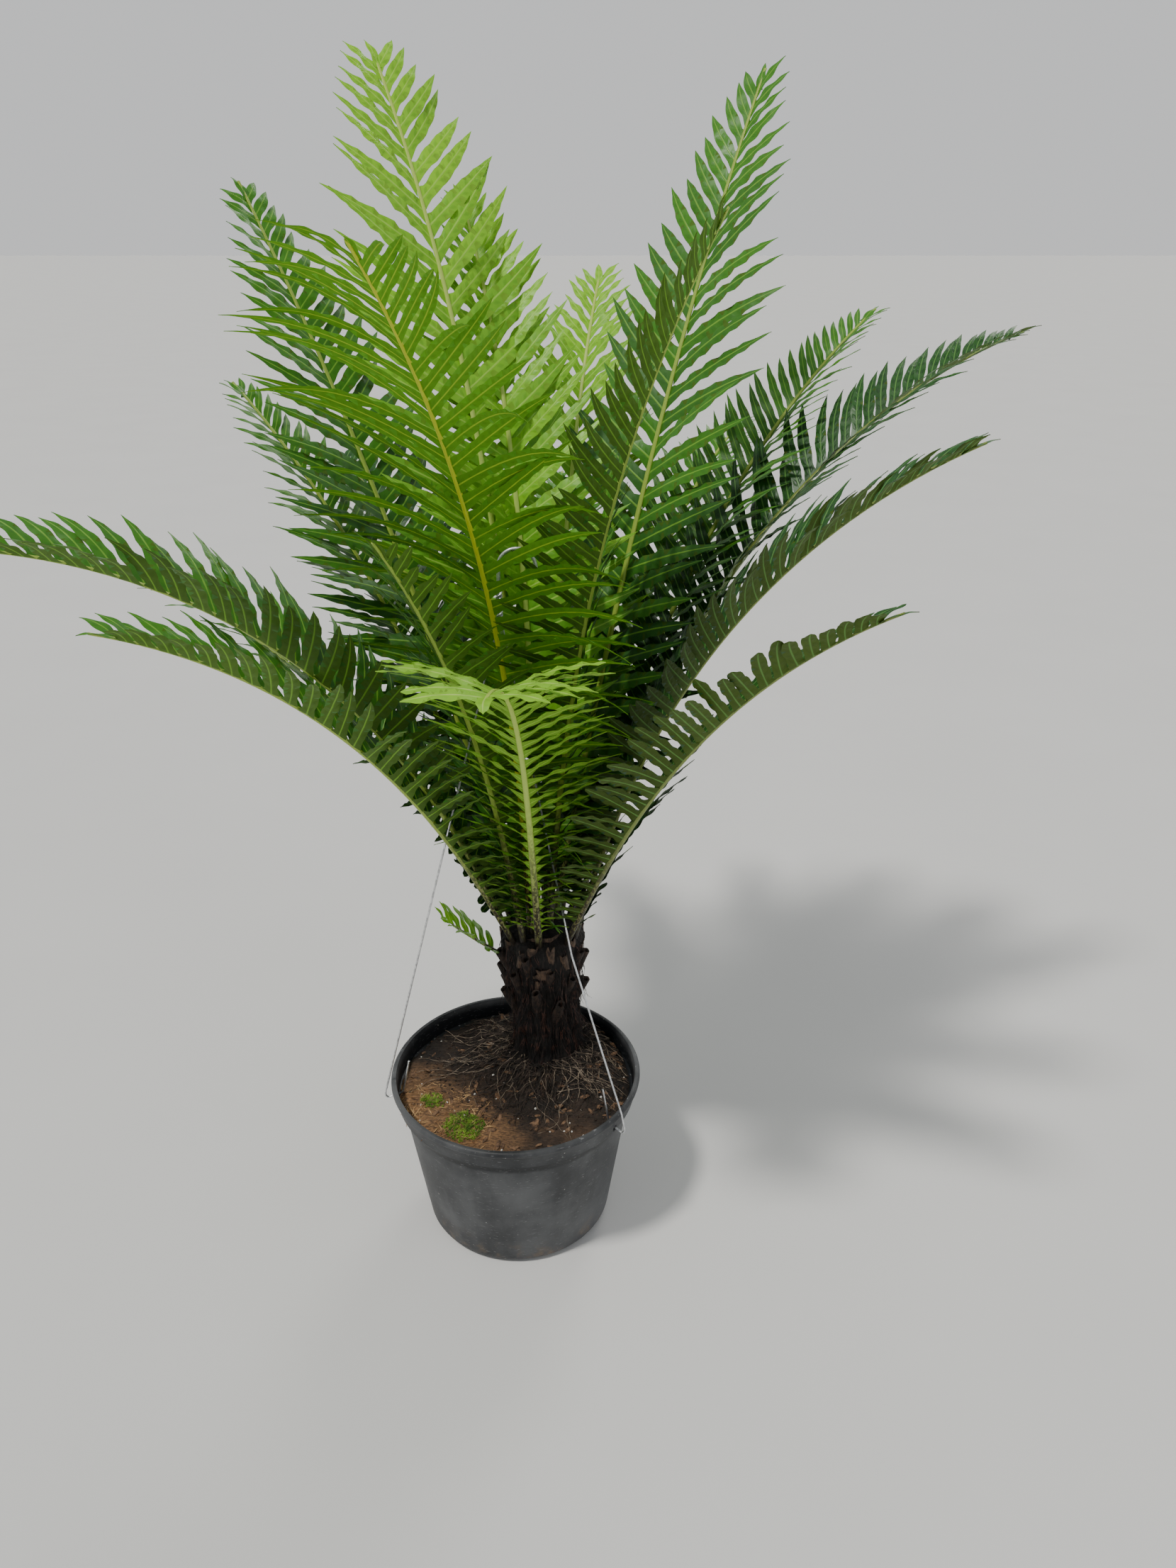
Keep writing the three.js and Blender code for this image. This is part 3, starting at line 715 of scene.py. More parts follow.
galvanised = mottled(
    "galvanised_wire",
    grain=(240, 4),
    band=(0.35, 0.7),
    colours=((0.80, 0.81, 0.82), (0.46, 0.47, 0.48)),
    finish=(0.3, 0.7, 0.30, 0.52),
    depth=0.0002,
    strength=0.4,
    metallic=1.0,
)
for side in CLIP_AZIMUTHS:
    line = [(point, WIRE_RADIUS) for point in wire_path(side)]
    wire = strands(f"hanger_{side}", [line], WIRE_SIDES, galvanised)
    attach(wire, "root")
    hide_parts(f"hanger_wire_{side}")

shank_top = SHANK_HEIGHT + 16 * MM
hook_line = [(0, CROOK_RISE), (0, SHANK_HEIGHT), (0, shank_top)]
for angle in range(170, -41, -10):
    reach = HOOK_RADIUS * (1 + math.cos(math.radians(angle)))
    rise = shank_top + CROOK_RISE + HOOK_RADIUS * math.sin(math.radians(angle))
    hook_line.append((reach, rise))
hook_paths = [[(HANGER_APEX + Vector((reach, 0, rise)), HOOK_WIRE_RADIUS) for reach, rise in hook_line]]
for k in range(SHANK_STRANDS):
    winding = []
    for j in range(WINDING_STEPS + 1):
        share = j / WINDING_STEPS
        angle = 360 / SHANK_STRANDS * k + 360 * TWISTS * share
        radius = SHANK_RADIUS - WIRE_RADIUS * 0.55
        rise = (1 + (SHANK_HEIGHT / MM - 2) * share) * MM
        winding.append((polar(radius, angle, rise) + HANGER_APEX, WIRE_RADIUS * 0.85))
    hook_paths.append(winding)
hook = strands("hanger_crook", hook_paths, WIRE_SIDES, galvanised)
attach(hook, "root")
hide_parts("hanger_hook")

# Trunk
# A short upright trunk of dark matted fibre, coloured near black partly as painted shade under the crown.
# It flares where the roots leave it at the mix, leans a little, and broadens into the crown that the fronds
# stand on.
TRUNK_CROWN = Vector((28 * MM, 62 * MM, 0))
# Height and radius in mm
TRUNK_OUTLINE = (
    (160.3, 47), (166, 41), (177, 36), (200, 33.5), (236, 34.5),
    (262, 38), (288, 42.5), (306, 43.5), (316, 38.5), (321.5, 26),
)
TRUNK_TOP = 324 * MM
FLARE_LOBES = 7
FLARE_DEPTH = 0.1
FLARE_HEIGHT = 45 * MM
RIPPLE_DEPTH = 0.035
RIDGE_HEIGHT = 2.2
THREAD_HEIGHT = 1.2
BASE_HEIGHT = 3.0
TRUNK_SEGMENTS = 150
TRUNK_RINGS = 110


def trunk_centre(level):
    """The trunk's axis at a height."""
    foot = TRUNK_OUTLINE[0][0] * MM
    return TRUNK_FOOT.lerp(TRUNK_CROWN, (level - foot) / (TRUNK_TOP - foot))


def trunk_radius(azimuth, level):
    """The trunk's radius at a height and azimuth, without its fine relief."""
    heights = [row[0] * MM for row in TRUNK_OUTLINE]
    ring = float(np.interp(level, heights, range(len(heights))))
    radius = float(np.interp(level, heights, [row[1] * MM for row in TRUNK_OUTLINE]))
    flare = FLARE_DEPTH * max(0, 1 - (level - heights[0]) / FLARE_HEIGHT)
    lobe = 1 + flare * math.cos(math.radians(FLARE_LOBES * azimuth))
    ripple = 1 + RIPPLE_DEPTH * math.sin(math.radians(3 * azimuth + 50 * ring))
    return radius * lobe * ripple


def trunk_relief(azimuth, level):
    """Matted fibre: upright ridges broken by old frond bases."""
    around = polar(1, azimuth, 0)
    ridges = noise.noise(Vector((around.x * 11, around.y * 11, level * 30)))
    threads = noise.noise(Vector((around.x * 34, around.y * 34, level * 95)))
    bases = noise.noise(Vector((around.x * 4.2, around.y * 4.2, level * 70)))
    return (RIDGE_HEIGHT * ridges + THREAD_HEIGHT * threads + BASE_HEIGHT * bases) * MM


def on_trunk(azimuth, level, lift=0.0):
    """A point on the trunk's rough skin, lifted off it by a distance."""
    radius = trunk_radius(azimuth, level) + trunk_relief(azimuth, level) + lift
    return polar(radius, azimuth, level) + trunk_centre(level)


def skin(edit, rings):
    """Adds a closed skin over rings of points to a bmesh."""
    for first, second in zip(rings, rings[1:]):
        for k in range(len(first)):
            after = (k + 1) % len(first)
            edit.faces.new((first[k], first[after], second[after], second[k]))
    edit.faces.new(list(reversed(rings[0])))
    edit.faces.new(rings[-1])


trunk_edit = bmesh.new()
low_level = TRUNK_OUTLINE[0][0] * MM - 3 * MM
high_level = TRUNK_OUTLINE[-1][0] * MM
trunk_rings = []
for j in range(TRUNK_RINGS + 1):
    level = low_level + (high_level - low_level) * j / TRUNK_RINGS
    around = [on_trunk(360 * k / TRUNK_SEGMENTS, level) for k in range(TRUNK_SEGMENTS)]
    trunk_rings.append([trunk_edit.verts.new(point) for point in around])
for share in (0.75, 0.5, 0.25):
    level = TRUNK_TOP - (TRUNK_TOP - high_level) * share**2
    top_ring = []
    for vert in trunk_rings[TRUNK_RINGS]:
        point = trunk_centre(level).lerp(Vector((vert.co.x, vert.co.y, 0)), share)
        rough = noise.noise(point * 190) * 2 * MM
        top_ring.append(trunk_edit.verts.new((point.x, point.y, level + rough)))
    trunk_rings.append(top_ring)
skin(trunk_edit, trunk_rings)
bmesh.ops.triangulate(trunk_edit, faces=[face for face in trunk_edit.faces if len(face.verts) > 4])

# The fibres are near black, partly painted shade from the crown above
BLACK_FIBRES_AND_SHADE = ((0.003, 0.0025, 0.002), (0.018, 0.011, 0.0075))
RUSTY_PATCH = (0.045, 0.024, 0.014)
trunk_fibre, tree, shader, where = start_material("trunk_fibre")
matted = speckle(tree, stretched(tree, where, (1, 1, 0.22)), 330, 6, 0.7)
patchy = speckle(tree, where, 45, 4)
fibre_colour = tint(tree, ramp(tree, matted, 0.42, 0.72), *BLACK_FIBRES_AND_SHADE)
fibre_colour = tint(tree, ramp(tree, patchy, 0.60, 0.78, 0, 0.35), fibre_colour, RUSTY_PATCH)
set_finish(tree, shader, fibre_colour, ramp(tree, matted, 0.3, 0.8, 0.95, 0.7), matted, 0.003, 1.0)
trunk = built("fern_trunk", trunk_edit, trunk_fibre)
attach(trunk, "root")
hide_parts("trunk")

# Fibres and rootlets
# Wiry dead roots hang in a mat on the trunk. Others, dark and here and there pale, run out over the
# mix from its foot.
TRUNK_FIBRES = 760
FIBRE_FOOT = 163 * MM
FIBRE_LOW = 175 * MM
FIBRE_SPAN = 138 * MM
FIBRE_STEPS = 8
FIBRE_TAPER = 0.6
ROOT_SIDES = 4
chance = random.Random(41)
hanging = []
for k in range(TRUNK_FIBRES):
    azimuth = chance.uniform(0, 360)
    level = FIBRE_LOW + FIBRE_SPAN * chance.random() ** 0.8
    length = chance.uniform(18, 70) * MM
    sway = chance.uniform(-260, 260)
    lift = chance.uniform(0.2, 1.3) * MM
    stray = chance.random() ** 3 * 15 * MM
    radius = chance.uniform(0.25, 0.55) * MM
    path = []
    for j in range(FIBRE_STEPS + 1):
        share = j / FIBRE_STEPS
        drop = max(level - length * share, FIBRE_FOOT)
        turn = azimuth + sway * length * share + 5 * math.sin(3 * share + k)
        path.append((on_trunk(turn, drop, lift + stray * share**2), radius * (1 - FIBRE_TAPER * share)))
    hanging.append(path)
wiry_root = mottled(
    "wiry_root",
    grain=(120, 3),
    band=(0.45, 0.7),
    colours=((0.006, 0.004, 0.003), (0.085, 0.034, 0.022)),
    finish=(0.3, 0.7, 0.85, 0.6),
)
fibres = strands("trunk_fibres", hanging, ROOT_SIDES, wiry_root)
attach(fibres, "root")

SURFACE_ROOTS = 620
SURFACE_ROOT_STEPS = 12
ROOT_START = 168 * MM
ROOT_SPREAD = 52 * MM
ROOT_EDGE = COLLAR_RADIUS - POT_WALL - 3 * MM
PALE_ROOTS = 0.3
running = {"dark": [], "pale": []}
for k in range(SURFACE_ROOTS):
    azimuth = chance.uniform(0, 360)
    heading = azimuth + chance.uniform(-60, 60)
    length = chance.uniform(22, 90) * MM
    radius = chance.uniform(0.25, 0.6) * MM
    start = trunk_radius(azimuth, ROOT_START) - 1 * MM + ROOT_SPREAD * chance.random() ** 2
    point = TRUNK_FOOT + polar(start, azimuth, 0)
    rise = chance.uniform(1, 6) * MM
    path = []
    for j in range(SURFACE_ROOT_STEPS + 1):
        share = j / SURFACE_ROOT_STEPS
        if Vector((point.x, point.y, 0)).length > ROOT_EDGE:
            break
        level = soil_level(point) + rise * math.sin(math.pi * share) + 3 * MM * (1 - share) ** 6
        path.append((Vector((point.x, point.y, level)), radius * (1 - FIBRE_TAPER * share)))
        heading += chance.uniform(-24, 24)
        point = point + polar(length / SURFACE_ROOT_STEPS, heading, 0)
    if len(path) > 3:
        running["pale" if chance.random() < PALE_ROOTS else "dark"].append(path)
ROOT_COLOURS = {
    "dark": ((0.008, 0.006, 0.004), (0.055, 0.034, 0.022)),
    "pale": ((0.090, 0.066, 0.046), (0.290, 0.230, 0.165)),
}
for shade, colours in ROOT_COLOURS.items():
    root_skin = mottled(
        f"{shade}_rootlet",
        grain=(140, 3),
        band=(0.35, 0.68),
        colours=colours,
        finish=(0.3, 0.7, 0.85, 0.65),
    )
    rootlets = strands(f"{shade}_rootlets", running[shade], ROOT_SIDES, root_skin)
    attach(rootlets, "root")

# Old frond stumps
# Where old fronds were cut, their bases stay on the trunk below the crown in a spiral. Each is a
# short brown stub, darker and hollow inside, with a ragged rim.
STUMPS = 22
STUMP_HEIGHT = 224 * MM
STUMP_STEP = 3.2 * MM
STUMP_ROOT = 29 * MM
STUMP_REACH = 46 * MM
STUMP_RISE = 36 * MM
STUMP_RADII = (6.6 * MM, 5.0 * MM)
STUMP_SIDES = 14
SPIRAL_TURN = 137.5


def add_stump(edit, k):
    """Adds stump k of the spiral to a bmesh: a tapered stub with a hollow end."""
    azimuth = SPIRAL_TURN * k + 20
    level = STUMP_HEIGHT + STUMP_STEP * k
    root = polar(STUMP_ROOT, azimuth, level - STUMP_RISE / 2) + TRUNK_CROWN
    end = polar(STUMP_REACH + (k % 3) * MM, azimuth, level + STUMP_RISE / 2) + TRUNK_CROWN
    along = (end - root).normalized()
    across = along.orthogonal().normalized()
    beside = along.cross(across)
    root_radius, end_radius = STUMP_RADII
    stations = (
        (0, root_radius), (0.5, root_radius * 0.95), (0.85, end_radius * 1.05), (1, end_radius),
        (0.98, end_radius * 0.68), (0.8, end_radius * 0.45),
    )
    rings = []
    for share, radius in stations:
        ring = []
        for j in range(STUMP_SIDES):
            angle = math.tau * j / STUMP_SIDES
            out = across * math.cos(angle) + beside * math.sin(angle) * 0.8
            rough = 1 + 0.14 * noise.noise(Vector((4 * out.x + k, 4 * out.y, 5 * share)))
            ragged = 1.6 * MM * noise.noise(Vector((j * 1.7, k, 2))) if share > 0.9 else 0
            place = root.lerp(end, share) + out * radius * rough + along * ragged
            ring.append(edit.verts.new(place))
        rings.append(ring)
    skin(edit, rings)


stump_edit = bmesh.new()
for k in range(STUMPS):
    add_stump(stump_edit, k)
stump_brown = mottled(
    "stump_brown",
    grain=(260, 5, 0.65),
    band=(0.35, 0.7),
    colours=((0.007, 0.005, 0.004), (0.046, 0.025, 0.015)),
    finish=(0.3, 0.7, 0.9, 0.65),
    depth=0.0015,
    stretch=(1, 1, 0.35),
)
stumps = built("frond_stumps", stump_edit, stump_brown, 50)
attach(stumps, "root")

# Dry scraps
# Dead scales and strips of old frond bases round the crown: thin, brown and papery, curled as they
# dried. The broadest ones hang at the front.
SCRAP_THICKNESS = 0.7 * MM
SCRAP_LIFT = 1.5 * MM
SCRAP_FLARE = 0.16
SCRAP_STEPS = 7
# Azimuth, height of the middle in mm, width and height in mm, curl and lean in degrees
DRY_SCRAPS = (
    (270, 319, 31, 9, 75, -5),
    (255, 309, 12, 19, 130, 12),
    (284, 304, 11, 29, 150, -5),
    (271, 286, 20, 13, 85, 6),
    (238, 299, 11, 23, 150, 16),
    (303, 297, 10, 21, 150, -14),
    (262, 267, 9, 18, 150, 8),
    (326, 309, 12, 19, 130, -20),
    (207, 306, 12, 17, 130, 15),
    (168, 300, 11, 22, 150, -8),
    (118, 308, 13, 18, 130, 10),
    (75, 302, 11, 24, 150, -12),
    (28, 306, 12, 18, 130, 9),
    (352, 290, 10, 20, 150, 14),
)


def add_scrap(edit, azimuth, level, width, height, curl, lean):
    """Adds one curled strip to a bmesh: a thin closed sheet on the trunk, bent about an upright line."""
    turn = math.radians(curl)
    middle = on_trunk(azimuth, level * MM, SCRAP_LIFT)
    out = polar(1, azimuth, 0)
    aside = polar(1, azimuth + 90, 0)
    upright = Vector((0, 0, math.cos(math.radians(lean)))) + aside * math.sin(math.radians(lean))
    upright += out * SCRAP_FLARE
    last = SCRAP_STEPS - 1
    sheets = []
    for lift in (0, SCRAP_THICKNESS):
        grid = []
        for j in range(SCRAP_STEPS):
            up = j / last - 0.5
            row = []
            for k in range(SCRAP_STEPS):
                across = k / last - 0.5
                angle = turn * (across + 0.22 * math.sin(4 * up + width))
                radius = width * MM / turn + lift
                torn = 1 + 0.5 * noise.noise(Vector((4 * across, azimuth, 9 * (up > 0))))
                place = aside * (radius * math.sin(angle)) + out * (radius * (math.cos(angle) - 1) + lift)
                row.append(edit.verts.new(middle + place + upright * (up * height * MM * torn)))
            grid.append(row)
        sheets.append(grid)
    rim = [(j, 0) for j in range(last)] + [(last, k) for k in range(last)]
    rim += [(last - j, last) for j in range(last)] + [(0, last - k) for k in range(last)]
    for grid in sheets:
        for j in range(last):
            for k in range(last):
                edit.faces.new((grid[j][k], grid[j][k + 1], grid[j + 1][k + 1], grid[j + 1][k]))
    back, front = sheets
    for (a, b), (c, d) in zip(rim, rim[1:] + rim[:1]):
        edit.faces.new((back[a][b], back[c][d], front[c][d], front[a][b]))


scrap_edit = bmesh.new()
for row in DRY_SCRAPS:
    add_scrap(scrap_edit, *row)
dry_brown = mottled(
    "dry_brown",
    grain=(300, 5, 0.6),
    band=(0.35, 0.68),
    colours=((0.020, 0.012, 0.008), (0.110, 0.066, 0.038)),
    finish=(0.3, 0.7, 0.85, 0.6),
    depth=0.0008,
    stretch=(1, 1, 0.3),
)
scraps = built("dry_scraps", scrap_edit, dry_brown, 50)
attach(scraps, "root")

# Fronds
# Each frond is one leathery leaf: a grooved rib that rises from the crown and arches outwards, with
# a row of long leaflets on either side, short and blunt at the foot, longest past the middle.
STALK = 24 * MM
FROND_TIP = 40 * MM
RIB_ROOT = 20 * MM
RIB_WIDTHS = (8.2 * MM, 2.7 * MM)
RIB_DEPTHS = (6.6 * MM, 2.2 * MM)
FORWARD_DEG = (82, 42)
# The pitch and the rib's size go by a usual leaflet's length in mm
USUAL_LEAFLET = 150
USUAL_PITCH = 23 * MM
# A frond under this length is stunted, with less stalk and tip
SHORT_FROND = 200 * MM
SHORT_STALK = 12 * MM
SHORT_TIP = 10 * MM
# ring, rise: where the rib leaves the crown. azimuth, sweep: its heading and how far that turns.
# lean, arch, bend: its angle from the vertical at the foot and at the tip, and how late it tips over.
# length, longest: of the rib and of its longest leaflet. pitch: between leaflets, left to a rule if None.
# blind: how far the blades turn edge up towards the foot. trough: how far the two rows fold up, most
# at the left, where the fronds show their upper faces, and least on the high fronds.
# full, young, blunt: the share of the rib from which leaflets grow shorter, or are still young and
# lime green, and how blunt they are at least.
Frond = namedtuple(
    "Frond",
    "ring azimuth sweep lean arch length longest look blind pitch trough full bend rise young blunt",
    defaults=(None, 22, 0.5, 1.6, 315, 1, 0),
)
FRONDS = {
    "tall_left": Frond(16, 126, 3, 4, 35, 890, 155, "bright", 12, pitch=25, trough=2, full=0.68),
    "tall_right": Frond(16, 43, 0, 14, 27, 880, 145, "green", 22, pitch=24, trough=4, full=0.62),
    "front_high": Frond(22, 241, 2, 3, 44, 740, 200, "sunlit", 34, pitch=17.5, trough=-4, full=0.75),
    "front_mid": Frond(34, 237, 6, 11, 43, 527, 110, "green", 48),
    "front_nodding": Frond(
        37, 267, -4, 18, 111, 510, 104, "bright", 40, pitch=13.5, trough=10, full=0.78, bend=3.4, young=0.78
    ),
    "left_long": Frond(37, 206, 0, 20, 92, 740, 120, "green", 8, trough=38),
    "left_low": Frond(39, 220, 2, 25, 71, 590, 112, "green", 35, trough=32),
    "front_right": Frond(12, 313, 35, 5, 28, 736, 130, "green", 35, pitch=16),
    "right_low": Frond(39, 313, 0, 26, 62, 590, 100, "deep", 22, pitch=18, blunt=0.7),
    "right_mid": Frond(38, 339, 0, 15, 65, 670, 120, "deep", 22, pitch=15),
    "right_high": Frond(34, 16, 2, 16, 76, 800, 130, "deep", 10, pitch=15),
    "right_back": Frond(34, 34, 0, 17, 59, 750, 130, "green", 20, pitch=14),
    "left_back_high": Frond(28, 143, -1, 20, 35, 820, 148, "green", 18, trough=2),
    "left_back_low": Frond(39, 152, -1, 18, 51, 650, 120, "green", 30, pitch=16, trough=6),
    "back_high": Frond(32, 102, 12, -1, 45, 780, 140, "bright", 20),
    "back_right": Frond(38, 60, 0, 24, 76, 680, 130, "green", 25),
    "back_mid": Frond(22, 80, 0, 12, 56, 760, 140, "bright", 25),
    "back_low": Frond(40, 88, 0, 28, 80, 620, 120, "green", 30),
    "back_left": Frond(40, 122, 0, 28, 78, 660, 125, "deep", 25),
    "left_short": Frond(39, 175, 0, 27, 72, 560, 115, "green", 30, pitch=16),
    "stunted": Frond(42, 196, 0, 50, 44, 92, 46, "bright", 10, rise=288),
}
RIB_STEPS = 44
RIB_SUBSTEPS = 8
RIB_SIDES = 10
# Colours of the leaflets' upper side, its darker tone, which also paints shade in the hollows and towards
# the foot, their lower side, painted lighter for light shining through, midvein and rib, then how wide,
# ruffled, hanging and dimpled the leaflets are
Look = namedtuple("Look", "leaf shaded below vein rib fullness ruffle droop dimples")
LOOKS = {
    # Light green, partly painted sunlight
    "bright": Look(
        (0.260, 0.590, 0.016), (0.070, 0.260, 0.008), (0.210, 0.440, 0.030),
        (0.360, 0.620, 0.080), (0.460, 0.620, 0.110), 0.95, 0.26, 0.10, 0.34,
    ),
    # Green in painted sunlight
    "sunlit": Look(
        (0.140, 0.430, 0.008), (0.045, 0.200, 0.006), (0.130, 0.360, 0.010),
        (0.420, 0.620, 0.030), (0.540, 0.600, 0.020), 0.92, 0.24, 0.26, 0.30,
    ),
    "green": Look(
        (0.058, 0.225, 0.010), (0.012, 0.075, 0.008), (0.080, 0.170, 0.016),
        (0.200, 0.420, 0.040), (0.320, 0.450, 0.060), 0.98, 0.20, 0.14, 0.20,
    ),
    # Dark green, partly painted shade
    "deep": Look(
        (0.021, 0.100, 0.013), (0.006, 0.036, 0.007), (0.064, 0.115, 0.010),
        (0.120, 0.280, 0.060), (0.200, 0.260, 0.050), 1.12, 0.15, 0.09, 0.55,
    ),
    "lime": Look(
        (0.260, 0.540, 0.035), (0.150, 0.400, 0.018), (0.200, 0.400, 0.035),
        (0.500, 0.700, 0.160), (0.500, 0.600, 0.140), 1.38, 0.26, 0.05, 0.15,
    ),
}


def rib_directions(frond, share):
    """Along the rib, out of its upper face, and to its right, at a share of its length."""
    tip_over = math.radians(frond.lean + (frond.arch - frond.lean) * share**frond.bend)
    out = polar(1, frond.azimuth + frond.sweep * share, 0)
    along = out * math.sin(tip_over) + Vector((0, 0, math.cos(tip_over)))
    up = out * -math.cos(tip_over) + Vector((0, 0, math.sin(tip_over)))
    return along, up, along.cross(up)


def rib_points(frond, shares):
    """The points of a frond's rib at rising shares of its length."""
    length = frond.length * MM
    point = polar(frond.ring * MM, frond.azimuth, frond.rise * MM) + TRUNK_CROWN
    points = []
    done = 0.0
    for share in shares:
        step = (share - done) / RIB_SUBSTEPS
        for j in range(RIB_SUBSTEPS):
            point = point + rib_directions(frond, done + step * (j + 0.5))[0] * step * length
        points.append(point.copy())
        done = share
    return points


def rib_size(frond, share):
    """The rib's width and depth at a share of its length."""
    small = 0.45 + 0.55 * min(1, 1.3 * frond.longest / USUAL_LEAFLET)
    width = RIB_WIDTHS[0] + (RIB_WIDTHS[1] - RIB_WIDTHS[0]) * share
    depth = RIB_DEPTHS[0] + (RIB_DEPTHS[1] - RIB_DEPTHS[0]) * share
    return small * width, small * depth


def add_rib(edit, run, frond):
    """Adds a frond's rib to a bmesh, with the distance along it in its map."""
    length = frond.length * MM
    last_share = (length - 0.5 * FROND_TIP) / length
    shares = [last_share * (j / RIB_STEPS) for j in range(RIB_STEPS + 1)]
    points = rib_points(frond, shares)
    start = points[0] - rib_directions(frond, 0)[0] * RIB_ROOT
    stations = [(-RIB_ROOT / length, start)] + list(zip(shares, points))
    rings = []
    for share, point in stations:
        _, up, right = rib_directions(frond, max(share, 0))
        width, depth = rib_size(frond, max(share, 0))
        ring = []
        for j in range(RIB_SIDES):
            angle = math.tau * (j + 0.5) / RIB_SIDES
            sideways = 0.52 * width * math.cos(angle)
            upwards = 0.52 * depth * math.sin(angle)
            if upwards > 0:
                upwards *= 0.66 + 0.3 * abs(math.cos(angle))
            ring.append(edit.verts.new(point + right * sideways + up * upwards))
        rings.append(ring)
    for k, (first, second) in enumerate(zip(rings, rings[1:])):
        for j in range(RIB_SIDES):
            after = (j + 1) % RIB_SIDES
            face = edit.faces.new((first[j], second[j], second[after], first[after]))
            for loop, (step, turn) in zip(face.loops, ((k, j), (k + 1, j), (k + 1, j + 1), (k, j + 1))):
                loop[run].uv = (stations[step][0] * length, turn / RIB_SIDES)
    for end, place in ((rings[0], 0), (list(reversed(rings[-1])), length)):
        for loop in edit.faces.new(end).loops:
            loop[run].uv = (place, 0)


def leaflet_share(frond, share):
    """How long a leaflet is, as a share of the longest: short at the foot, longest past the middle."""
    rise = 0.2 + 0.8 * math.sin(math.pi / 2 * min(1, share / 0.5)) ** 1.3
    return rise * (1 - 0.88 * max(0, (share - frond.full) / (1 - frond.full)) ** 1.6)


def leaflet_places(frond):
    """The shares of the rib's length where leaflets stand, each with the pitch there."""
    length = frond.length * MM
    short = length < SHORT_FROND
    if frond.pitch is None:
        pitch = USUAL_PITCH * (frond.longest * MM / (USUAL_LEAFLET * MM)) ** 0.6
    else:
        pitch = frond.pitch * MM
    done = SHORT_STALK if short else STALK
    end = length - (SHORT_TIP if short else FROND_TIP)
    places = []
    while done < end:
        share = done / length
        opening = 0.52 + 0.48 * math.sin(math.pi / 2 * min(1, share / 0.35))
        closing = 1 - 0.34 * max(0, (share - 0.78) / 0.22)
        step = pitch * opening * closing
        places.append(((done + step / 2) / length, step))
        done += step
    return places


def rows_of(points):
    """Points as the rows of an array."""
    return np.array([tuple(point) for point in points])


def segment_gap(points, starts, ends):
    """The least distance from any of the points to any of the straight pieces."""
    run = ends - starts
    from_start = points[:, None, :] - starts[None, :, :]
    share = np.clip((from_start * run).sum(2) / (run * run).sum(1), 0, 1)
    return float(np.linalg.norm(from_start - share[:, :, None] * run, axis=2).min())


limb_shares = [0.02 + 0.96 * j / 24 for j in range(25)]
limb_lines = {name: rows_of(rib_points(frond, limb_shares)) for name, frond in FRONDS.items()}
for side in CLIP_AZIMUTHS:
    limb_lines["wire_" + side] = rows_of(wire_path(side))
limb_lines["crook"] = rows_of(point for point, _ in hook_paths[0])
limb_lines["crown"] = rows_of(trunk_centre(level) + Vector((0, 0, level)) for level in (0.17, 0.30))
LIMB_ROOM = 7.5 * MM
LEAFLET_CURL = 0.13
REACH_RANGE = (0.87, 0.98)
TIP_SHRINK = 0.07
# How far a leaflet's heading, its fold and its turn stray either way, in degrees
HEADING_STRAY = 5
TROUGH_STRAY = 7
TURN_STRAY = 9
# Young leaflets point further forward, grow a little longer and end blunt
YOUNG_FORWARD = 24
YOUNG_GROWTH = 1.08
YOUNG_BLUNT = 0.7
# Near the frond's foot a leaflet under the first length is the blunter the shorter it is
BLUNT_UNDER = 75 * MM
BLUNT_SPAN = 40 * MM
TIP_REACH = 0.78
TIP_PITCH = 11 * MM
# What a leaflet that would touch another limb tries in turn: its share of the length, its extra rise
TRIES = ((1, 0), (1, -14), (1, 14), (0.82, 0), (0.82, -14), (0.82, 14), (0.6, 0), (0.6, 14), (0.45, 0))


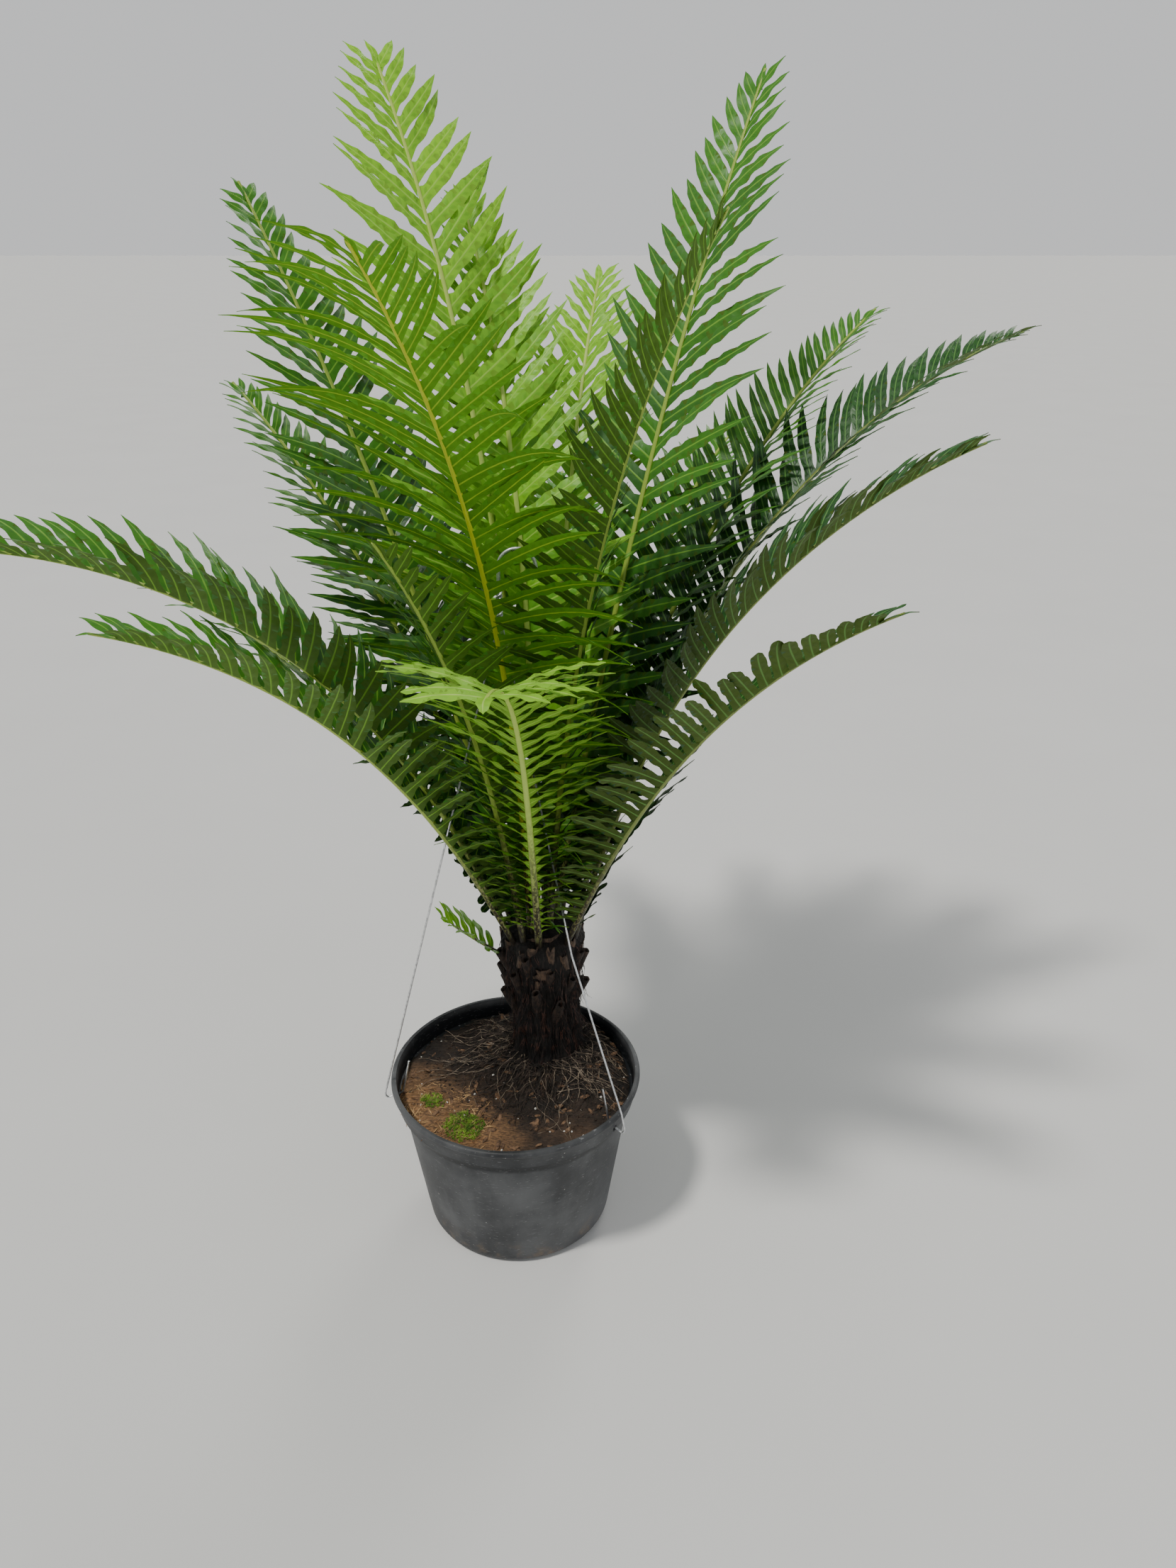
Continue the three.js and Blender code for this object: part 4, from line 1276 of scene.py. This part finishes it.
def leaflets_of(name):
    """The leaflets of one frond: for each what the nodes need to grow it."""
    frond = FRONDS[name]
    longest = frond.longest * MM
    chance = random.Random(frond.azimuth)
    places = leaflet_places(frond)
    points = rib_points(frond, [share for share, _ in places])
    others = [line for limb, line in limb_lines.items() if limb != name]
    starts = np.concatenate([line[:-1] for line in others])
    ends = np.concatenate([line[1:] for line in others])
    rows = []
    for (share, pitch), point in zip(places, points):
        along, up, right = rib_directions(frond, share)
        width, depth = rib_size(frond, share)
        young = share > frond.young
        look = "lime" if young else frond.look
        sag = Vector((0, 0, -LOOKS[look].droop))
        for side in (1, -1):
            shift = along * (0.22 * pitch * side)
            base = point + shift + right * (side * 0.40 * width) + up * (0.04 * depth)
            reach = longest * leaflet_share(frond, share) * chance.uniform(*REACH_RANGE)
            reach *= 1 - TIP_SHRINK * share**2
            forward = FORWARD_DEG[0] + (FORWARD_DEG[1] - FORWARD_DEG[0]) * share
            forward += chance.uniform(-HEADING_STRAY, HEADING_STRAY)
            if young:
                forward += YOUNG_FORWARD
                reach *= YOUNG_GROWTH
            angle = math.radians(forward)
            stray = chance.uniform(-TROUGH_STRAY, TROUGH_STRAY)
            for shorter, rise in TRIES:
                trough = math.radians(frond.trough + stray + rise)
                outward = right * (side * math.cos(trough)) + up * math.sin(trough)
                heading = along * math.cos(angle) + outward * math.sin(angle)
                broad = (along - heading * along.dot(heading)).normalized()
                run = reach * shorter
                shares = (0.15, 0.3, 0.45, 0.6, 0.8, 1)
                line = [base + (heading * t + (broad * LEAFLET_CURL + sag) * t * t) * run for t in shares]
                if segment_gap(rows_of(line), starts, ends) > LIMB_ROOM:
                    break
            else:
                continue
            fade = 1 - max(0.0, min(1.0, (share - 0.3) / 0.45))
            blunt = fade * max(0.0, min(1.0, (BLUNT_UNDER - run) / BLUNT_SPAN))
            blunt = max(blunt, YOUNG_BLUNT if young else frond.blunt)
            stray = chance.uniform(-TURN_STRAY, TURN_STRAY)
            rows.append({
                "look": look,
                "base": base,
                "heading": heading,
                "across": broad * side,
                "along": along * side,
                "face": (heading.cross(broad) * side).normalized(),
                "reach": run,
                "pitch": pitch,
                "room": pitch * max(math.sin(angle), 0.9 if young else 0),
                "side": side,
                "blunt": blunt,
                "turn": -side * math.radians(frond.blind * (0.25 + 0.75 * fade) + stray),
                "age_and_crown_shade": 1 - share,
            })
    return rows


def tip_leaflet(frond):
    """The last leaflet of a frond, which carries its rib on to the tip."""
    length = frond.length * MM
    share = 0.86 if length < SHORT_FROND else (length - FROND_TIP) / length
    along, up, right = rib_directions(frond, share)
    return {
        "look": "lime" if frond.young < 1 else frond.look,
        "base": rib_points(frond, [share])[0],
        "heading": along,
        "across": right * -1,
        "along": right * -1,
        "face": up,
        "reach": length * (1 - share) * TIP_REACH,
        "pitch": TIP_PITCH,
        "room": TIP_PITCH,
        "side": 1,
        "blunt": 0.0,
        "turn": 0.0,
        "age_and_crown_shade": 0.0,
    }


# A leaflet strip has its share of the length as X, its share of the width as Y from -1 to 1, and its
# keel as Z. The nodes bend it to its place. Its lower side meets in one keel under the midvein.
STRIP_STEPS = 18
strip = bmesh.new()
underside = strip.faces.layers.int.new("underside")
strip_rows = []
for k in range(STRIP_STEPS + 1):
    share = (k / STRIP_STEPS) ** 1.12
    row = [strip.verts.new((share, v, 0)) for v in (-1, 0, 1)]
    strip_rows.append(row + [strip.verts.new((share, 0, 1))])
for first, second in zip(strip_rows, strip_rows[1:]):
    for k in range(4):
        after = (k + 1) % 4
        face = strip.faces.new((first[k], second[k], second[after], first[after]))
        face[underside] = 1 if k > 1 else 0
for end in (list(strip_rows[0]), list(reversed(strip_rows[-1]))):
    strip.faces.new(end)[underside] = 1
bmesh.ops.recalc_face_normals(strip, faces=strip.faces)
for edge in strip.edges:
    edge.smooth = len({face[underside] for face in edge.link_faces}) == 1
strip_mesh = bpy.data.meshes.new("leaflet_strip")
strip.to_mesh(strip_mesh)
strip.free()
for key, axis in (("strip_t", 0), ("strip_v", 1), ("strip_keel", 2)):
    layer = strip_mesh.attributes.new(key, "FLOAT", "POINT")
    layer.data.foreach_set("value", [vert.co[axis] for vert in strip_mesh.vertices])
leaflet_strip = bpy.data.objects.new("leaflet_strip", strip_mesh)

POINTED = (
    (0, 0.5), (0.03, 0.46), (0.07, 0.38), (0.12, 0.36), (0.22, 0.415), (0.38, 0.42), (0.56, 0.36),
    (0.75, 0.24), (0.9, 0.10), (1, 0.006),
)
BLUNT = (
    (0, 0.5), (0.05, 0.46), (0.1, 0.40), (0.17, 0.385), (0.35, 0.405), (0.6, 0.415), (0.8, 0.39),
    (0.92, 0.30), (0.97, 0.18), (1, 0.05),
)

leafy, given, result = new_tree(
    "leaflets",
    strip="Object",
    seed="Int",
    fullness="Float",
    ruffle="Float",
    belly="Float",
    keel="Float",
    curl="Float",
    arch="Float",
    droop="Float",
    upper_side="Material",
    lower_side="Material",
)


def store(name, value, geometry, data_type="FLOAT", domain="POINT"):
    """The leaflet geometry with one more named attribute."""
    sockets = {"Geometry": geometry, "Name": name, "Value": value}
    kind = "GeometryNodeStoreNamedAttribute"
    return add_node(leafy, kind, sockets, data_type=data_type, domain=domain).outputs[0]


def recall(name, data_type="FLOAT"):
    """A named attribute of the leaflet geometry."""
    kind = "GeometryNodeInputNamedAttribute"
    return add_node(leafy, kind, {"Name": name}, data_type=data_type).outputs[0]


def chance_of(low, high, seed):
    """A random number for each leaflet."""
    sockets = {2: low, 3: high, "Seed": seed}
    return add_node(leafy, "FunctionNodeRandomValue", sockets, data_type="FLOAT").outputs[1]


def times(*values):
    """The product of several numbers."""
    product = values[0]
    for value in values[1:]:
        product = reckon(leafy, "MULTIPLY", product, value)
    return product


def leaf_sum(first, *terms):
    """A vector plus other vectors, each times its amount."""
    kind = "ShaderNodeVectorMath"
    for amount, direction in terms:
        scaled = add_node(leafy, kind, {0: direction, 3: amount}, operation="SCALE").outputs[0]
        first = add_node(leafy, kind, {0: first, 1: scaled}, operation="ADD").outputs[0]
    return first


def blend(share, first, second):
    """A number between two, the second where the share is 1."""
    sockets = {0: share, 2: first, 3: second}
    return add_node(leafy, "ShaderNodeMix", sockets, data_type="FLOAT").outputs[0]


def width_curve(points):
    """Half the leaflet's width along it, as a share of the pitch."""
    made = add_node(leafy, "ShaderNodeFloatCurve", {"Value": recall("strip_t")})
    curve = made.mapping.curves[0]
    curve.points[0].location = points[0]
    curve.points[1].location = points[-1]
    for point in points[1:-1]:
        curve.points.new(*point)
    made.mapping.update()
    return made.outputs[0]


RUFFLE_LENGTH = 22 * MM
LEAFLET_VECTORS = ("base", "heading", "across", "along", "face")
LEAFLET_NUMBERS = ("reach", "pitch", "room", "side", "blunt", "turn", "age_and_crown_shade")
rows_in = store("phase", chance_of(0.0, math.tau, 5), given["Geometry"])
rows_in = store("slack", chance_of(0.6, 1.45, given["Seed"]), rows_in)
rows_in = store("shade", chance_of(0.0, 1.0, 17), rows_in)
strip_in = add_node(leafy, "GeometryNodeObjectInfo", {"Object": given["Strip"]}).outputs["Geometry"]
sockets = {"Points": rows_in, "Instance": strip_in}
leaves = add_node(leafy, "GeometryNodeInstanceOnPoints", sockets).outputs[0]
leaves = add_node(leafy, "GeometryNodeRealizeInstances", {0: leaves}).outputs[0]
t = recall("strip_t")
v = recall("strip_v")
reach = recall("reach")
phase = recall("phase")
slack = recall("slack")
run = times(t, reach)
half_width = blend(recall("blunt"), width_curve(POINTED), width_curve(BLUNT))
waves = reckon(leafy, "MULTIPLY_ADD", run, math.tau / RUFFLE_LENGTH, phase)
scallop = reckon(leafy, "SINE", reckon(leafy, "MULTIPLY_ADD", v, 1.3, reckon(leafy, "ADD", waves, 1.6)))
scallop = reckon(leafy, "MULTIPLY_ADD", scallop, 0.06, 1.0)
spacing = blend(ramp(leafy, t, 0.0, 0.12), recall("pitch"), recall("room"))
half_width = times(half_width, spacing, given["Fullness"], scallop)
y = times(half_width, v)
edge = reckon(leafy, "ABSOLUTE", v)
wave = reckon(leafy, "SINE", reckon(leafy, "MULTIPLY_ADD", v, 1.1, waves))
wave = times(wave, edge, ramp(leafy, t, 0.02, 0.2), given["Ruffle"], half_width)
belly = times(edge, given["Belly"], half_width, reckon(leafy, "SUBTRACT", slack, 0.55))
keel = times(recall("strip_keel"), reckon(leafy, "MULTIPLY_ADD", given["Keel"], half_width, 0.0006))
z = reckon(leafy, "SUBTRACT", reckon(leafy, "SUBTRACT", wave, belly), keel)
blade_turn = times(recall("turn"), ramp(leafy, t, 0.0, 0.16))
turn_cos = reckon(leafy, "COSINE", blade_turn)
turn_sin = reckon(leafy, "SINE", blade_turn)
across_y = reckon(leafy, "SUBTRACT", times(y, turn_cos), times(z, turn_sin))
across_z = reckon(leafy, "ADD", times(y, turn_sin), times(z, turn_cos))
sickle = times(t, t, reach, given["Curl"], recall("side"))
hump = times(reckon(leafy, "SINE", times(t, math.pi)), given["Arch"], reach)
fall = times(t, t, reach, given["Droop"], slack)
base, heading, across, along, face = [recall(key, "FLOAT_VECTOR") for key in LEAFLET_VECTORS]
sockets = {0: ramp(leafy, t, 0.0, 0.14), 4: along, 5: across}
broadside = add_node(leafy, "ShaderNodeMix", sockets, data_type="VECTOR").outputs[1]
place = leaf_sum(
    base,
    (run, heading),
    (across_y, broadside),
    (sickle, across),
    (reckon(leafy, "ADD", across_z, hump), face),
    (fall, (0, 0, -1)),
)
on_blade = add_node(leafy, "ShaderNodeCombineXYZ", {0: run, 1: v}).outputs[0]
leaves = store("blade_map", on_blade, leaves, "FLOAT2", "CORNER")
leaves = store("breadth", half_width, leaves)
leaves = add_node(leafy, "GeometryNodeSetPosition", {"Geometry": leaves, "Position": place}).outputs[0]
leaves = add_node(leafy, "GeometryNodeSetShadeSmooth", {"Geometry": leaves}).outputs[0]
sockets = {"Geometry": leaves, "Material": given["Upper side"]}
leaves = add_node(leafy, "GeometryNodeSetMaterial", sockets).outputs[0]
underneath = recall("underside", "INT")
sockets = {"Geometry": leaves, "Selection": underneath, "Material": given["Lower side"]}
leaves = add_node(leafy, "GeometryNodeSetMaterial", sockets).outputs[0]
leafy.links.new(leaves, result["Geometry"])

LEAFLET_BELLY = 0.22
LEAFLET_KEEL = 0.05
LEAFLET_ARCH = 0.04
VEIN_SPACING = 11 * MM
UPPER_SKIN = {"gloss": 0.40, "shine": 0.38}
LOWER_SKIN = {"gloss": 0.60, "shine": 0.22, "dimples": 0.3}
UNDERSIDE_SHADE = 0.6
TAN = (0.19, 0.17, 0.075)
SCALE_BROWN = (0.018, 0.011, 0.007)
FOOT_BROWN = (0.012, 0.008, 0.005)


def blade_material(name, leaf, shaded, vein, gloss, dimples, shine):
    """The skin of a leaflet: a pale midvein, dimples between side veins with painted shade in their
    hollows, lighter on young leaflets and darker towards the frond's foot, as painted shade near the crown.
    """
    material, tree, shader, where = start_material(name, specular_ior_level=shine)
    blade_map = add_node(tree, "ShaderNodeUVMap", uv_map="blade_map").outputs[0]
    on_blade = parts_of(tree, blade_map)
    off_vein = reckon(tree, "ABSOLUTE", on_blade[1])
    slanted = reckon(tree, "MULTIPLY", on_blade[0], 1 / VEIN_SPACING)
    slanted = reckon(tree, "MULTIPLY_ADD", off_vein, -0.5, slanted)
    quilt = reckon(tree, "ABSOLUTE", reckon(tree, "SINE", reckon(tree, "MULTIPLY", slanted, math.pi)))
    beside = reckon(tree, "MULTIPLY", ramp(tree, off_vein, 0.08, 0.3), ramp(tree, off_vein, 0.85, 0.5))
    dimple_with_painted_shade = reckon(tree, "MULTIPLY", ramp(tree, quilt, 0.55, 0.98), beside)
    shade, age_and_crown_shade, breadth = [
        add_node(tree, "ShaderNodeAttribute", attribute_name=key).outputs["Fac"]
        for key in ("shade", "age_and_crown_shade", "breadth")
    ]
    # Painted shade: leaflets nearer the frond's foot, by the crown, are tinted darker; random tone and
    # noise vary the rest
    darker = reckon(tree, "MULTIPLY_ADD", shade, 0.42, age_and_crown_shade)
    darker = reckon(tree, "MULTIPLY_ADD", speckle(tree, where, 30, 3), 0.22, darker)
    green = tint(tree, ramp(tree, darker, 0.30, 1.35), leaf, shaded)
    # Painted shade in the hollows of the dimples
    green = tint(tree, reckon(tree, "MULTIPLY", dimple_with_painted_shade, dimples), green, shaded)
    midvein = ramp(tree, off_vein, 0.14, 0.05, 0, 0.8)
    green = tint(tree, midvein, green, vein)
    rough = reckon(tree, "MULTIPLY_ADD", shade, 0.14, gloss)
    relief = reckon(tree, "MULTIPLY_ADD", dimple_with_painted_shade, -dimples, reckon(tree, "MULTIPLY", midvein, -0.3))
    relief = reckon(tree, "MULTIPLY", relief, ramp(tree, breadth, 1 * MM, 6 * MM))
    set_finish(tree, shader, green, rough, relief, 0.0008, 0.7)
    return material


def leaflet_source(name, rows):
    """A mesh of one loose point per leaflet that holds what the nodes need."""
    source = bpy.data.meshes.new(name)
    source.from_pydata([tuple(row["base"]) for row in rows], [], [])
    for key in LEAFLET_VECTORS:
        layer = source.attributes.new(key, "FLOAT_VECTOR", "POINT")
        layer.data.foreach_set("vector", [x for row in rows for x in row[key]])
    for key in LEAFLET_NUMBERS:
        layer = source.attributes.new(key, "FLOAT", "POINT")
        layer.data.foreach_set("value", [float(row[key]) for row in rows])
    return source


all_rows = [row for name in FRONDS for row in leaflets_of(name) + [tip_leaflet(FRONDS[name])]]
for look, looks in LOOKS.items():
    group = [name for name, frond in FRONDS.items() if frond.look == look]
    upper = blade_material(
        f"{look}_leaf", looks.leaf, looks.shaded, looks.vein, dimples=looks.dimples, **UPPER_SKIN
    )
    dim = tuple(UNDERSIDE_SHADE * share for share in looks.below)
    lower = blade_material(f"{look}_leaf_underside", looks.below, dim, looks.vein, **LOWER_SKIN)
    blades = made_by(
        leafy,
        f"{look}_leaflets",
        leaflet_source(f"{look}_points", [row for row in all_rows if row["look"] == look]),
        strip=leaflet_strip,
        seed=len(look),
        fullness=looks.fullness,
        ruffle=looks.ruffle,
        belly=LEAFLET_BELLY,
        keel=LEAFLET_KEEL,
        curl=LEAFLET_CURL,
        arch=LEAFLET_ARCH,
        droop=looks.droop,
        upper_side=upper,
        lower_side=lower,
    )
    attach(blades, "root")
    if not group:
        continue
    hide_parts(*[f"frond_{name}" for name in group])

    rib_edit = bmesh.new()
    run = rib_edit.loops.layers.uv.new("rib_map")
    for name in group:
        add_rib(rib_edit, run, FRONDS[name])
    rib_skin, tree, shader, where = start_material(f"{look}_rib", roughness=0.42)
    rib_map = add_node(tree, "ShaderNodeUVMap", uv_map="rib_map").outputs[0]
    from_foot = parts_of(tree, rib_map)[0]
    flecks = speckle(tree, stretched(tree, where, (1, 1, 0.5)), 420, 3, 0.6)
    scaly = reckon(tree, "MULTIPLY", ramp(tree, from_foot, 0.24, 0.02), ramp(tree, flecks, 0.44, 0.52))
    uneven = reckon(tree, "MULTIPLY_ADD", speckle(tree, where, 60), 0.05, from_foot)
    rib_colour = tint(tree, ramp(tree, uneven, 0.22, 0.06, 0, 0.8), looks.rib, TAN)
    rib_colour = tint(tree, scaly, rib_colour, SCALE_BROWN)
    rib_colour = tint(tree, ramp(tree, from_foot, 0.035, 0.0), rib_colour, FOOT_BROWN)
    set_finish(tree, shader, rib_colour, None, flecks, 0.0006, 0.5)
    ribs = built(f"{look}_ribs", rib_edit, rib_skin, 70)
    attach(ribs, "root")

# Studio
# A plain pale floor under the pot and soft light from large lamps.
FLOOR_REACH = 60
FLOOR_PAINT = ((0.66, 0.66, 0.65), (0.71, 0.71, 0.70))
floor_edit = bmesh.new()
bmesh.ops.create_grid(floor_edit, x_segments=1, y_segments=1, size=FLOOR_REACH)
floor_paint, tree, shader, where = start_material("pale_floor", roughness=0.9, specular_ior_level=0.2)
worn = speckle(tree, where, 3, 3)
set_finish(tree, shader, tint(tree, worn, *FLOOR_PAINT))
floor = built("floor", floor_edit, floor_paint)

# The walls of the studio are as pale as the floor, its ceiling is darker
WALLS = (0.70, 0.705, 0.71)
CEILING = (0.32, 0.335, 0.35)
world = bpy.data.worlds.new("studio")
bpy.context.scene.world = world
world.use_nodes = True
tree = world.node_tree
towards = add_node(tree, "ShaderNodeTexCoord").outputs["Object"]
overhead = ramp(tree, parts_of(tree, towards)[2], 0.22, 0.65)
backdrop = tint(tree, overhead, WALLS, CEILING)
tree.links.new(backdrop, tree.nodes["Background"].inputs["Color"])
LAMP_AIM = Vector((0, 0, 0.55))
# Kind, where it shines from, strength, spread in degrees or size in metres, colour
LAMPS = {
    "key": ("SUN", (-0.9, -0.75, 2.6), 2.3, 7, (1.0, 0.97, 0.91)),
    "rim": ("SUN", (0.8, 2.0, 2.2), 0.6, 20, (1.0, 0.98, 0.93)),
    "fill": ("AREA", (2.2, -1.6, 1.8), 10, 2.2, (1.0, 1.0, 1.0)),
}
for name, (kind, place, power, spread, colour) in LAMPS.items():
    lamp_data = bpy.data.lights.new(name, kind)
    lamp_data.energy = power
    lamp_data.color = colour
    if kind == "SUN":
        lamp_data.angle = math.radians(spread)
    else:
        lamp_data.size = spread
    lamp = bpy.data.objects.new(name, lamp_data)
    lamp.location = place
    lamp.rotation_euler = (LAMP_AIM - Vector(place)).to_track_quat("-Z", "Y").to_euler()
    bpy.context.scene.collection.objects.link(lamp)

bpy.data.objects.remove(leaflet_strip)
